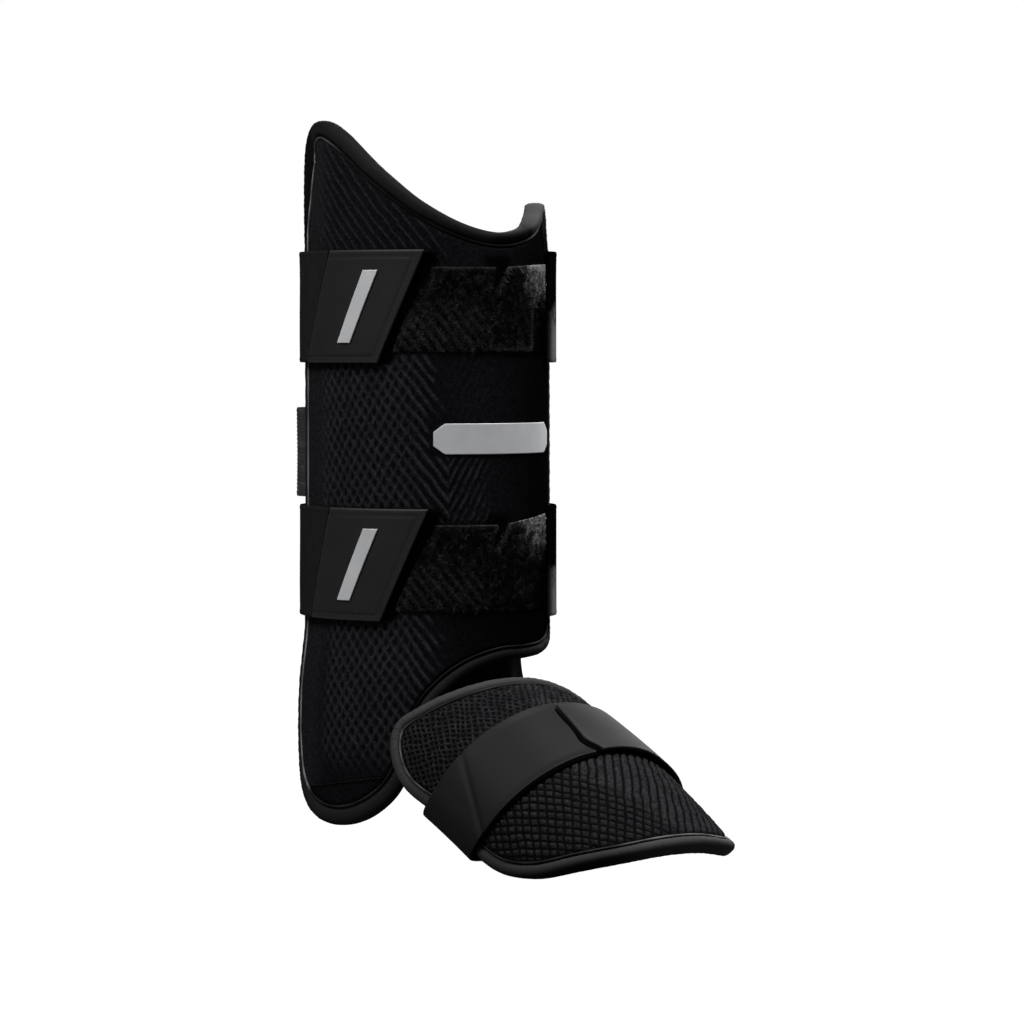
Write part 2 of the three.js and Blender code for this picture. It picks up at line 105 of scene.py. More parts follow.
# The dip of a shell beside its binding and the puff of its inner face, the cord and the bead of the binding,
# and the seam across the ankle lobe
PAD_DIP = {"depth": 1.1, "from": 0.2, "to": 3.2}
PAD_PUFF = {"depth": 0.8, "reach": 30.0}
PIPING_INSET, PIPING_LIFT = 0.7, -0.35
BEAD_POWER, BEAD_PROUD = 2 / 2.5, 1.0
LOBE_SEAM = {"front": 62.0, "back": 108.0, "front_height": -178.5, "back_height": -187.0, "depth": 0.7}

# The foot shell, half a pipe on a ridge line that bends down to the toe
FOOT_WALL = 7.0
FOOT_FORWARD, FOOT_HEIGHT, FOOT_PITCH = 88.5, -131.0, math.radians(23.8)
FOOT_BEND_RADIUS = 618.0
FOOT_HALF_WIDTH = 67.0
FOOT_HALF_DEPTH = 60.0
FOOT_DEGREE = 1.11
# Each row is a place along the ridge line, a wrap angle to the outer side and the binding's width
FOOT_OUTLINE = {
    "inner_edge": [(4, -43, 6.5), (18, -53, 6.5), (45, -56, 6.5), (82, -56.5, 6.5), (112, -54, 6.5)],
    "toe": [
        (129.5, -44, 6.5), (138.5, -27, 6.5), (140.5, -5, 7), (138, 18, 7), (133, 35, 7), (122, 55, 7.5),
    ],
    "outer_edge": [
        (109, 71.5, 7.5), (90, 83.5, 7.5), (71, 87.5, 7.5), (55, 86, 7.5), (30, 85.5, 7.5),
        (12, 87.5, 7.5), (-4, 87, 7.5), (-18, 82, 7.5),
    ],
    "heel": [
        (-30, 71.5, 7), (-33.5, 62, 7), (-28, 48.5, 7), (-19.5, 27, 7), (-14, 6, 6.5), (-10.5, -12, 6.5),
        (-5, -30, 6.5),
    ],
}

# Straps, tabs, hook pads and loop patches of the two closures
STRAP_WIDTH = 59.0
STRAP_THICKNESS = 2.0
STRAP_LENGTH, STRAP_RIB = 265.0, 0.02
STRAP_END = 330.0
# The darkening of a strap towards its inner end, nearly to black: where it starts, where its pale corner
# comes in and where that corner fades
STRAP_END_DARKENING = {
    "from": 303.0, "to": 305.0, "pale_from": 307.0, "pale_to": 315.0, "fade_from": 322.0, "fade_to": 329.0,
}
STRAP_SEAM_GAP = 0.4
STRAP_LIFTS = np.array([
    # angle, lift
    (110, 2.7), (117, 1.8), (126.5, 1.8), (150, -6), (180, -9), (240, -9), (285, -2), (301, 2.7),
    (316, 2.7), (324, 1.8), (329.5, 0.5),
])
# In each closure the last value lightens the loop patch's inner top corner, partly rubbed pile and partly a
# painted highlight, the one before it paints shade along a crease in the patch, and the one before that
# lightens its seam lines
CLOSURES = {
    "upper": {"centre": 68.0, "end_top": 43.6, "end_bottom": 64.7, "seam_top": 89.5, "seam_bottom": 107.7,
              "loop_top": 88.5, "loop_bottom": 44.0, "loop_rise": 2.0,
              "seam_light": 0.11, "crease_shade": 0.0, "wear": 1.5},
    "lower": {"centre": -67.0, "end_top": 42.0, "end_bottom": 63.3, "seam_top": 89.7, "seam_bottom": 103.6,
              "loop_top": -46.0, "loop_bottom": -91.5, "loop_rise": 4.5,
              "seam_light": 0.0, "crease_shade": 0.9, "wear": 0.75},
}
TAB_LIFT = 2.7
TAB_THICKNESS = 2.3
# A tab's length, the mean run of its slanted shape, its edge's radius and the gap to its border line
TAB_LENGTH, TAB_RUN, TAB_EDGE, TAB_LINE = 52.0, 50.0, 0.8, 3.4
TAB_STITCHES = {"side": 3.9, "end": 4.3, "gap": 0.9, "radius": 0.18}
HOOK_LIFT, HOOK_THICKNESS, HOOK_REACH, HOOK_COVER, HOOK_HEIGHT = 1.4, 1.0, 6.0, 24.0, 57.0
HOOK_LENGTH, HOOK_COLUMNS, HOOK_ROWS, HOOK_RADIUS = 35.0, 9, 44, 0.28
LOOP_LIFT, LOOP_THICKNESS, LOOP_START, LOOP_COVER = 0.4, 0.8, -29.0, 6.0
# A patch's length along its bottom, its mean run and its height
LOOP_LENGTH, LOOP_RUN, LOOP_HEIGHT = 98.0, 95.0, 44.0
LOOP_NOTCH = np.array([
    # share of the patch's length, drop of its top edge
    (0.402, 0), (0.452, 15), (0.470, 15), (0.492, 0),
])
LOOP_LEAN = {"angle": 4.5, "depth": 15.0, "share": 0.46, "spread": 0.12}
LOOP_SEAM = {"from": -13.5, "to": 14.0, "low": 1.8}
NOTCH_FOLD = {"angle": 1.0, "slope": 0.56, "spread": 0.8}
PILE = {"length": (0.8, 3.0), "bend": (-0.5, 0.5), "half_width": (0.05, 0.16), "rise": (0.25, 0.85)}
STRIP_LIFT, STRIP_THICKNESS = 0.3, 0.6
TAB_STRIP = {"angle": 74.0, "width": 8.0, "height": 38.0}
SHIN_STRIP = {"start": -33.0, "finish": 40.0, "length": 85.0, "height": 16.0, "centre": -1.0, "taper": 0.45}

# The band behind the calf
BAND_TOP, BAND_BOTTOM, BAND_FROM, BAND_TO, BAND_THICKNESS = 14.0, -34.0, 108.0, 322.0, 2.0
BAND_LENGTH, BAND_RIB = 245.0, 0.12
BAND_LIFTS = np.array([
    # angle, lift
    (128.5, -12.4), (134, -6), (142, 4), (150, 6.5), (165, 4), (180, 0), (250, -5), (298, -9.5),
    (306, -12.4),
])

# The ankle tongue, from inside the shin shell to the underside of the foot shell
TONGUE_THICKNESS, TONGUE_FROM, TONGUE_TO = 2.5, -22.5, 46.0
TONGUE_TOP, TONGUE_BACK, TONGUE_REACH, TONGUE_SEAT, TONGUE_DIP = -96.0, -26.0, 18.0, -0.5, -4.5
TONGUE_DROPS = np.array([
    # angle, height, lift
    (-20, -146, -4), (10, -152, -5), (46, -170, -8.5),
])

# The strap round the foot and the flap over its end
FOOT_STRAP = {"start": 20.0, "width": 46.0, "thickness": 2.0, "wrap_from": -21.0, "wrap_to": 88.0}
FOOT_STRAP_LIFTS = np.array([
    # wrap, lift
    (70, 0.5), (79, 1.6),
])
FOOT_STRAP_UNDER = [
    # outer, depth
    (67.2, 58.6), (63, 59.4), (20, 60), (-20, 59.5), (-40, 56), (-49.5, 47.5), (-49, 37.5),
]
FOOT_STRAP_TAIL = {"wrap_from": -55.0, "wrap_to": -45.0, "lift": -10.7}
FOOT_STRAP_CREASE = {"depth": 0.45, "from": 88.0, "slope": 22.0, "spread": 1.6}
# The black roll under the foot strap's toe-side edge, a painted shadow: where it starts, how far it runs past
# the fold and how deep the fold is
FOOT_STRAP_SHADOW = {"from": 31.0, "past_fold": 16.0, "fold_depth": 58.0, "half_width": 1.6}
FLAP_THICKNESS, FLAP_LOW, FLAP_END_START, FLAP_END_FINISH = 1.6, -57.0, 4.5, 10.2
# The flap's greatest width and length, and its mean ones
FLAP_WIDTH, FLAP_LENGTH, FLAP_ACROSS, FLAP_UP = 46.0, 68.0, 45.0, 66.0
FLAP_ROWS = np.array([
    # wrap, lift, flare, start, finish
    (-57, 1.5, 0.5, 26, 72), (-40, 1.2, 1.2, 25, 73), (-27, 1.7, 1.4, 24, 71), (-22, 2.25, 1.3, 24, 68.5),
    (-6, 2.25, 1.1, 24, 67), (10.2, 2.25, 0.5, 24, 66),
])

# Raised ribs: phase gained for each millimetre across and along the flattened shell
SHIN_RIBS = np.array([(1 / 5.9, -1 / 7.45), (1 / 5.2, 1 / 9.6)])
SHIN_RIB_PHASES = (0.0, 0.13, 0.29, 0.5, 0.71, 0.87)
FRONT_RIBS = np.array([(1 / 4.3, -1 / 8.2), (1 / 5.2, 1 / 9.6)])
FOOT_RIBS = np.array([(-0.120, 0.194), (0.149, 0.181)])
FOOT_RIB_PHASES = (0.0, 0.1, 0.22, 0.5, 0.78, 0.9)
HEEL_RIBS = FOOT_RIBS * 1.4
HEEL_RIB_PHASES = (0.0, 0.12, 0.26, 0.5, 0.74, 0.88)
CHEVRON_ANGLE = 33.0
RIB_ZONES = {
    "shin_ribs_outer": {"ribs": SHIN_RIBS, "side": 136.0, "top": 160.0, "bottom": -182.0},
    "shin_ribs_front": {
        "ribs": FRONT_RIBS, "side": CHEVRON_ANGLE * SHIN_DEGREE + 27, "top": 43.0, "bottom": -45.0},
}
INSTEP_FROM, TOE_TO, UNDER_STRAP = -60.0, 160.0, 3.0
RIB_BASE = 0.05
# How far the ribs of the shin are shifted, and over what size of patches the ribs of both shells are
SHIN_SHIFT, SHIN_SHIFT_SIZE, FOOT_SHIFT_SIZE = 0.55, 6.0, 5.0

CAMERA_AZIMUTH = math.radians(-41.0)
CAMERA_ELEVATION = math.radians(2.5)
CAMERA_DISTANCE = 2.2
PHOTO_MM_PER_PIXEL = 0.537
PHOTO_PIXELS = 1024
PHOTO_PAN = (86, -78)
LIGHTS = [
    # name, towards the camera, to its right, up, size, power
    ("key", 0.7, -0.8, 1.2, 0.8, 15), ("top", 0.1, 0.55, 1.4, 0.8, 26),
    ("rim", -1.4, 0.9, 0.6, 0.6, 7), ("back", -1.5, -0.1, 0.5, 0.6, 9),
]
LIGHT_TARGET = (0.0, -0.04, -0.05)
FLOOR_RADIUS, FLOOR_GAP, FLOOR_SIDES = 1.7, 0.002, 96
WORLD_GLOW = 0.05


def length_value(name, description, default):
    """A length that a user may change."""
    return bpy.props.FloatProperty(name=name, description=description, default=default, unit="LENGTH")


def colour_value(name, description, default):
    """A base colour that a user may change."""
    return bpy.props.FloatVectorProperty(
        name=name, description=description, default=default, subtype="COLOR", min=0, max=1)


class GuardSizes(bpy.types.PropertyGroup):
    """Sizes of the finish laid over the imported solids."""

    rib_height: length_value("Shin ribs", "How far the shin's ribs stand up", 0.0009)
    brick_height: length_value("Foot ribs", "How far the foot's ribs stand up", 0.0009)
    piping_radius: length_value("Piping", "Radius of the cord beside each binding", 0.0006)
    stitch_length: length_value("Stitch", "Length of one stitch", 0.0024)
    fibre_count: bpy.props.IntProperty(
        name="Loop fibres", description="Fibres on each loop patch", default=15000, min=0)


class GuardColours(bpy.types.PropertyGroup):
    """Base colours of the guard's finishes."""

    shell: colour_value("Shin shell", "Ridges of the shin's moulded fabric", (0.0318, 0.0322, 0.0380))
    foot_shell: colour_value("Foot shell", "Ridges of the foot's moulded fabric", (0.0300, 0.0294, 0.0316))
    # Painted shade: the near black put into the pits between the ribs, and the dark end of the other painted
    # shades
    painted_shade: colour_value("Shell pits", "Pits between the ribs", (0.0012, 0.0012, 0.0014))
    binding: colour_value("Binding", "Rolled edge tape of the shin", (0.0190, 0.0190, 0.0198))
    foot_binding: colour_value("Foot binding", "Rolled edge tape of the foot", (0.0340, 0.0340, 0.0344))
    # The cord's lightest tone; along the edge it is darkened as painted shade and kept light as a painted
    # highlight
    piping: colour_value("Piping", "Thin cord beside the binding", (0.340, 0.340, 0.341))
    tab: colour_value("Tab", "Moulded strap tabs", (0.0200, 0.0200, 0.0204))
    thread: colour_value("Thread", "Sewing thread", (0.0130, 0.0130, 0.0135))
    elastic: colour_value("Elastic", "Woven straps", (0.0215, 0.0215, 0.0221))
    calf_elastic: colour_value("Calf band", "Rough woven band behind the calf", (0.0490, 0.0490, 0.0498))
    # The pile's lightest tone, reached at the inner top corner, which is rubbed pile with a painted highlight
    loop: colour_value("Loop pile", "Fibres of the loop patches", (0.600, 0.600, 0.603))
    # Its near black also colours the black rolls that stand in as painted shadow along the foot strap and the
    # flap
    hook: colour_value("Hook", "Hook pads and black edges", (0.0006, 0.0006, 0.0006))
    silver: colour_value("Silver", "Reflective strips", (0.90, 0.91, 0.93))
    lining: colour_value("Lining", "Knit lining and tongue", (0.0032, 0.0032, 0.0035))
    webbing: colour_value("Foot strap", "Coated strap over the foot", (0.0066, 0.0066, 0.0068))
    # Painted highlight: the flap is the same coated fabric as the strap, about twice as light, for the top
    # light's sheen on it
    flap: colour_value("Foot flap", "Coated flap over the strap's end", (0.0140, 0.0140, 0.0146))


# Numbers and curves

def ease(low, high, value):
    """Goes smoothly from 0 at low to 1 at high."""
    share = np.clip((value - low) / (high - low), 0, 1)
    return share * share * (3 - 2 * share)


def read_row(rows, place, column=1, window=0.0):
    """Reads one column of a sorted table, averaged over a window to round its corners."""
    steps = np.linspace(-window, window, 7) if window else (0.0,)
    return np.mean([np.interp(place + step, rows[:, 0], rows[:, column]) for step in steps], axis=0)


def mix(start, finish, share):
    return start + (finish - start) * share


def ridge(value, centre, spread):
    """Is 1 at a centre and fades smoothly over a spread on both sides."""
    return np.exp(-((value - centre) / spread) ** 2)


def turns(sides):
    """Angles of the points of a ring."""
    return np.arange(sides) / sides * 2 * math.pi


def unit(vectors):
    """The same directions with length 1."""
    return vectors / np.linalg.norm(vectors, axis=1)[:, None]


def run_along(path):
    """Distance along a path from its start to each of its points."""
    return np.concatenate([[0], np.cumsum(np.linalg.norm(np.diff(path, axis=0), axis=1))])


def spline(places, at, closed):
    """Centripetal spline through places, read at fractional row numbers."""
    count = len(places)
    if not closed:
        places = np.vstack([2 * places[0] - places[1], places, 2 * places[-1] - places[-2]])
        at = np.clip(at, 0, count - 1 - 1e-9) + 1
        count += 2
    first = np.floor(at).astype(int)
    share = (at - first)[:, None]
    p0, p1, p2, p3 = (places[(first + step) % count] for step in (-1, 0, 1, 2))
    gaps = [np.sum((b - a) ** 2, axis=1)[:, None] ** 0.25 for a, b in ((p0, p1), (p1, p2), (p2, p3))]
    leave = ((p1 - p0) / gaps[0] - (p2 - p0) / (gaps[0] + gaps[1]) + (p2 - p1) / gaps[1]) * gaps[1]
    reach = ((p2 - p1) / gaps[1] - (p3 - p1) / (gaps[1] + gaps[2]) + (p3 - p2) / gaps[2]) * gaps[1]
    square, cube = share ** 2, share ** 3
    return (
        (2 * cube - 3 * square + 1) * p1 + (cube - 2 * square + share) * leave
        + (3 * square - 2 * cube) * p2 + (cube - square) * reach
    )


# Surfaces that the pieces lie on

def shin_point(angle, height, lift):
    """A point on the shin's oval, raised from the shell's outer face."""
    angle, height, lift = np.broadcast_arrays(*(np.asarray(v, float) for v in (angle, height, lift)))
    turn = np.radians(angle)
    width = read_row(SHIN_WIDTHS, height, window=12.0)
    depth = np.where(np.cos(turn) > 0, SHIN_FRONT_DEPTH, SHIN_BACK_DEPTH)
    out_x, out_y = -depth * np.sin(turn), -width * np.cos(turn)
    size = np.hypot(out_x, out_y)
    x = -width * np.sin(turn) + out_x / size * lift
    y = -depth * np.cos(turn) + out_y / size * lift
    return np.stack([x, y, height], -1) * MM


def foot_section(wrap, lift):
    """A point seen along the foot: its distance to the outer side of the ridge and its depth under it."""
    turn = np.radians(wrap)
    out_x, out_y = FOOT_HALF_DEPTH * np.sin(turn), FOOT_HALF_WIDTH * np.cos(turn)
    size = np.hypot(out_x, out_y)
    outer = FOOT_HALF_WIDTH * np.sin(turn) + out_x / size * lift
    depth = FOOT_HALF_DEPTH * (1 - np.cos(turn)) - out_y / size * lift
    return outer, depth


def in_foot(along, outer, depth):
    """Places a point of that section in the part's frame."""
    along, outer, depth = np.broadcast_arrays(*(np.asarray(v, float) for v in (along, outer, depth)))
    bend = along / FOOT_BEND_RADIUS
    reach = FOOT_BEND_RADIUS - depth
    y = -reach * np.sin(bend)
    z = reach * np.cos(bend) - FOOT_BEND_RADIUS
    turned_y = y * math.cos(FOOT_PITCH) - z * math.sin(FOOT_PITCH) - FOOT_FORWARD
    turned_z = y * math.sin(FOOT_PITCH) + z * math.cos(FOOT_PITCH) + FOOT_HEIGHT
    return np.stack([-outer, turned_y, turned_z], -1) * MM


def read_shin(flat):
    """Angle and height of places on the flattened shin."""
    return flat[..., 0] / SHIN_DEGREE, flat[..., 1]


def on_shin(flat, lift):
    return shin_point(*read_shin(flat), lift)


def on_foot(flat, lift):
    return in_foot(flat[..., 0], *foot_section(flat[..., 1] / FOOT_DEGREE, lift))


class Outline:
    """A shell's outline laid out flat, with the direction out of it and the binding's width."""

    def __init__(self, sides, lengths, columns, rows):
        table = [np.array(side, float) * (*lengths, 1) for side in sides.values()]
        places = np.vstack(table)
        at, first = [], 0
        for number, side in enumerate(table):
            count = columns if number % 2 == 0 else rows
            at.append(first + np.arange(count) / count * len(side))
            first += len(side)
        loop = spline(places, np.concatenate(at), closed=True)
        self.columns, self.rows = columns, rows
        self.edge, self.rim = loop[:, :2], loop[:, 2:]
        along = np.roll(self.edge, -1, axis=0) - np.roll(self.edge, 1, axis=0)
        self.out = unit(np.stack([along[:, 1], -along[:, 0]], -1))

    def inset(self, shares, extra=0.0):
        """The outline moved in by a share of the binding's width and a little more."""
        return self.edge - self.out * (self.rim * shares + extra)

    def fill(self, loop):
        """A grid of points inside a loop, which follows its four sides."""
        columns, rows = self.columns, self.rows
        across, up = np.arange(columns + 1), np.arange(rows + 1)
        bottom, top = loop[across][None], loop[2 * columns + rows - across][None]
        right, left = loop[columns + up][:, None], loop[(2 * (columns + rows) - up) % len(loop)][:, None]
        u, v = (across / columns)[None, :, None], (up / rows)[:, None, None]
        corners = (
            bottom[:, :1] * (1 - u) * (1 - v) + bottom[:, -1:] * u * (1 - v)
            + top[:, :1] * (1 - u) * v + top[:, -1:] * u * v
        )
        return bottom * (1 - v) + top * v + left * (1 - u) + right * u - corners


def distance_inside(points, loop):
    """How far each flat point is inside a closed loop, negative outside, and the nearest loop point."""
    points = points.reshape(-1, 2)
    following = np.roll(loop, -1, axis=0)
    step = following - loop
    length = np.maximum((step ** 2).sum(1), 1e-12)
    far, nearest = np.empty(len(points)), np.empty_like(points)
    for start in range(0, len(points), 4000):
        part = points[start:start + 4000, None]
        share = np.clip(((part - loop) * step).sum(2) / length, 0, 1)
        on_loop = loop + step * share[..., None]
        gap = ((part - on_loop) ** 2).sum(2)
        best = gap.argmin(1)
        row = np.arange(len(best))
        x, y = part[..., 0], part[..., 1]
        spans = (loop[:, 1] > y) != (following[:, 1] > y)
        rise = np.where(np.abs(step[:, 1]) < 1e-12, 1e-12, step[:, 1])
        inside = (spans & (x < loop[:, 0] + (y - loop[:, 1]) * step[:, 0] / rise)).sum(1) % 2 == 1
        far[start:start + 4000] = np.sqrt(gap[row, best]) * np.where(inside, 1, -1)
        nearest[start:start + 4000] = on_loop[row, best]
    return far, nearest


# Meshes

def grid_faces(rows, columns, first=0, flip=False):
    """Faces of a grid of rows x columns points, numbered row by row."""
    row, column = np.meshgrid(np.arange(rows - 1), np.arange(columns - 1), indexing="ij")
    corner = (first + row * columns + column).ravel()
    faces = np.stack([corner, corner + 1, corner + columns + 1, corner + columns], 1)
    return faces[:, ::-1] if flip else faces


def border_of(rows, columns):
    """Numbers of a grid's border points, once round."""
    bottom = np.arange(columns)
    right = np.arange(1, rows) * columns + columns - 1
    top = (rows - 1) * columns + np.arange(columns - 2, -1, -1)
    left = np.arange(rows - 2, 0, -1) * columns
    return np.concatenate([bottom, right, top, left])


def slab_mesh(outer, inner):
    """Points and faces of a closed slab between two grids of the same size."""
    rows, columns = outer.shape[:2]
    count = rows * columns
    points = np.concatenate([outer.reshape(-1, 3), inner.reshape(-1, 3)])
    border = border_of(rows, columns)
    after = np.roll(border, -1)
    walls = np.stack([border, after, after + count, border + count], 1)
    faces = np.concatenate([grid_faces(rows, columns, flip=True), grid_faces(rows, columns, count), walls])
    return points, faces


def ring_mesh(sections):
    """Points and faces of a closed ring through sections of the same number of points."""
    count, sides = sections.shape[:2]
    row, side = np.meshgrid(np.arange(count), np.arange(sides), indexing="ij")
    here, after = row * sides, (row + 1) % count * sides
    beside = (side + 1) % sides
    faces = np.stack([here + side, here + beside, after + beside, after + side], -1).reshape(-1, 4)
    return sections.reshape(-1, 3), faces


def join_meshes(parts):
    """Joins meshes given as points and faces."""
    points, faces, first = [], [], 0
    for part_points, part_faces in parts:
        points.append(part_points)
        faces.append(part_faces + first)
        first += len(part_points)
    return np.concatenate(points), np.concatenate(faces)


def new_piece(name, points, faces, material, slot, flat=None, values=None, closed=True):
    """Makes a piece of the guard that rides on its one body."""
    mesh = bpy.data.meshes.new(name)
    mesh.from_pydata(points.tolist(), [], faces if isinstance(faces, list) else faces.tolist())
    if closed:
        work = bmesh.new()
        work.from_mesh(mesh)
        bmesh.ops.recalc_face_normals(work, faces=work.faces)
        work.to_mesh(mesh)
        work.free()
    mesh.polygons.foreach_set("use_smooth", np.ones(len(mesh.polygons), bool))
    if flat is not None:
        corners = np.empty(len(mesh.loops), np.int32)
        mesh.loops.foreach_get("vertex_index", corners)
        layer = mesh.uv_layers.new(name="flat")
        layer.data.foreach_set("uv", flat.reshape(-1, 2)[corners].astype(np.float32).ravel())
    for key, value in (values or {}).items():
        attribute = mesh.attributes.new(key, "FLOAT", "POINT")
        attribute.data.foreach_set("value", np.asarray(value, np.float32).ravel())
    mesh.materials.append(material)
    mesh.update()
    piece = bpy.data.objects.new(name, mesh)
    bpy.context.scene.collection.objects.link(piece)
    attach(piece, "root")
    return piece


def new_slab(name, outer, inner, flat, material, slot, values=None):
    """A piece that is a closed slab between two grids, with the same chart and values on both faces."""
    points, faces = slab_mesh(outer, inner)
    doubled = {key: np.tile(np.ravel(value), 2) for key, value in (values or {}).items()}
    return new_piece(name, points, faces, material, slot, np.concatenate([flat, flat]), doubled)


def edge_steps(length, step, edge):
    """Shares along a length, closer together at both ends for a rounded edge."""
    near = np.array([0.0, 0.12, 0.35, 0.7, 1.1]) * edge
    middle = np.linspace(2 * edge, length - 2 * edge, max(2, round((length - 4 * edge) / step) + 1))
    return np.concatenate([near, middle, length - near[::-1]]) / length


def round_drop(gap, radius):
    """Drop of a face whose edge is rounded with a radius, at a gap from that edge."""
    inside = np.clip(radius - gap, 0, radius)
    return radius - np.sqrt(np.maximum(radius ** 2 - inside ** 2, 0))


def capsules(starts, ends, ups, radius, squash=0.7):
    """Short rounded stitches from starts to ends, joined in one mesh."""
    rings = np.array([(0.0, 0.25), (0.18, 0.85), (0.5, 1.0), (0.82, 0.85), (1.0, 0.25)])
    sides = 6
    turn = turns(sides)
    axis = ends - starts
    side = unit(np.cross(axis, ups))
    centre = starts[:, None] + axis[:, None] * rings[None, :, :1]
    size = rings[None, :, None, 1:] * radius
    around = side[:, None, None] * np.cos(turn)[None, None, :, None]
    rise = ups[:, None, None] * np.sin(turn)[None, None, :, None] * squash
    points = centre[:, :, None] + size * (around + rise)
    count, levels = points.shape[:2]
    base = np.arange(count)[:, None, None] * levels * sides
    level = np.arange(levels - 1)[None, :, None] * sides
    here = np.arange(sides)[None, None, :]
    beside = (here + 1) % sides
    low, high = base + level, base + level + sides
    faces = np.stack([low + here, low + beside, high + beside, high + here], -1).reshape(-1, 4)
    return points.reshape(-1, 3), faces


def stitch_row(surface, path, lift, length, gap, radius):
    """Stitches along a flat path of points, laid on a surface."""
    steps = run_along(path)
    count = max(1, int(steps[-1] // (length + gap)))
    begin = (np.arange(count) + 0.5) * steps[-1] / count - length / 2
    ends = [
        np.stack([np.interp(at, steps, path[:, axis]) for axis in (0, 1)], -1)
        for at in (begin, begin + length)
    ]
    starts, finishes = (surface(flat, np.full(len(flat), lift)) for flat in ends)
    ups = unit(surface(ends[0], np.full(count, lift + 1.0)) - starts)
    return capsules(starts, finishes, ups, radius * MM)


# Shader node groups and materials

def add_node(tree, kind, inputs=None, **settings):
    """Adds a node and sets its options and its unlinked inputs."""
    node = tree.nodes.new(kind)
    for key, value in settings.items():
        setattr(node, key, value)
    for key, value in (inputs or {}).items():
        node.inputs[key].default_value = value
    return node


def math_node(tree, operation, first, second=None):
    """A math node fed by sockets or numbers."""
    node = add_node(tree, "ShaderNodeMath", operation=operation)
    for place, value in enumerate((first, second)):
        if isinstance(value, bpy.types.NodeSocket):
            tree.links.new(value, node.inputs[place])
        elif value is not None:
            node.inputs[place].default_value = value
    return node.outputs[0]


def new_group(name, inputs, outputs):
    """A shader node group with named sockets: inputs are name and default, outputs are names."""
    tree = bpy.data.node_groups.new(name, "ShaderNodeTree")
    for label, default in inputs:
        socket = tree.interface.new_socket(name=label, in_out="INPUT", socket_type="NodeSocketFloat")
        socket.default_value = default
    for label in outputs:
        tree.interface.new_socket(name=label, in_out="OUTPUT", socket_type="NodeSocketFloat")
    return tree, tree.nodes.new("NodeGroupInput"), tree.nodes.new("NodeGroupOutput")


def crossed_threads():
    """Group: the height of a plain weave on the flat map, whose threads have a given pitch."""
    if "Crossed threads" in bpy.data.node_groups:
        return bpy.data.node_groups["Crossed threads"]
    tree, given, result = new_group(
        "Crossed threads", [("Pitch across", 1.0), ("Pitch along", 1.0)], ["Height"])
    place = add_node(tree, "ShaderNodeUVMap", uv_map="flat")
    apart = tree.nodes.new("ShaderNodeSeparateXYZ")
    tree.links.new(place.outputs["UV"], apart.inputs[0])
    waves = []
    for axis, pitch in (("X", "Pitch across"), ("Y", "Pitch along")):
        cycles = math_node(tree, "DIVIDE", apart.outputs[axis], given.outputs[pitch])
        waves.append(math_node(tree, "SINE", math_node(tree, "MULTIPLY", cycles, math.pi)))
    product = math_node(tree, "MULTIPLY", *waves)
    tree.links.new(math_node(tree, "MULTIPLY_ADD", product, 0.5), result.inputs["Height"])
    return tree


def uneven_tone():
    """Group: soft blotches and fine grain over the piece, for rubbed patches and dust."""
    if "Uneven tone" in bpy.data.node_groups:
        return bpy.data.node_groups["Uneven tone"]
    tree, given, result = new_group(
        "Uneven tone", [("Blotch scale", 30.0), ("Grain scale", 1500.0), ("Grain share", 0.4)],
        ["Factor", "Grain"])
    place = tree.nodes.new("ShaderNodeTexCoord")
    found = []
    for label, detail in (("Blotch scale", 4.0), ("Grain scale", 2.0)):
        noise = add_node(tree, "ShaderNodeTexNoise", {"Detail": detail, "Roughness": 0.6})
        tree.links.new(place.outputs["Object"], noise.inputs["Vector"])
        tree.links.new(given.outputs[label], noise.inputs["Scale"])
        found.append(noise.outputs["Fac"])
    blend = add_node(tree, "ShaderNodeMix", data_type="FLOAT")
    tree.links.new(given.outputs["Grain share"], blend.inputs["Factor"])
    tree.links.new(found[0], blend.inputs["A"])
    tree.links.new(found[1], blend.inputs["B"])
    tree.links.new(blend.outputs["Result"], result.inputs["Factor"])
    tree.links.new(found[1], result.inputs["Grain"])
    return tree


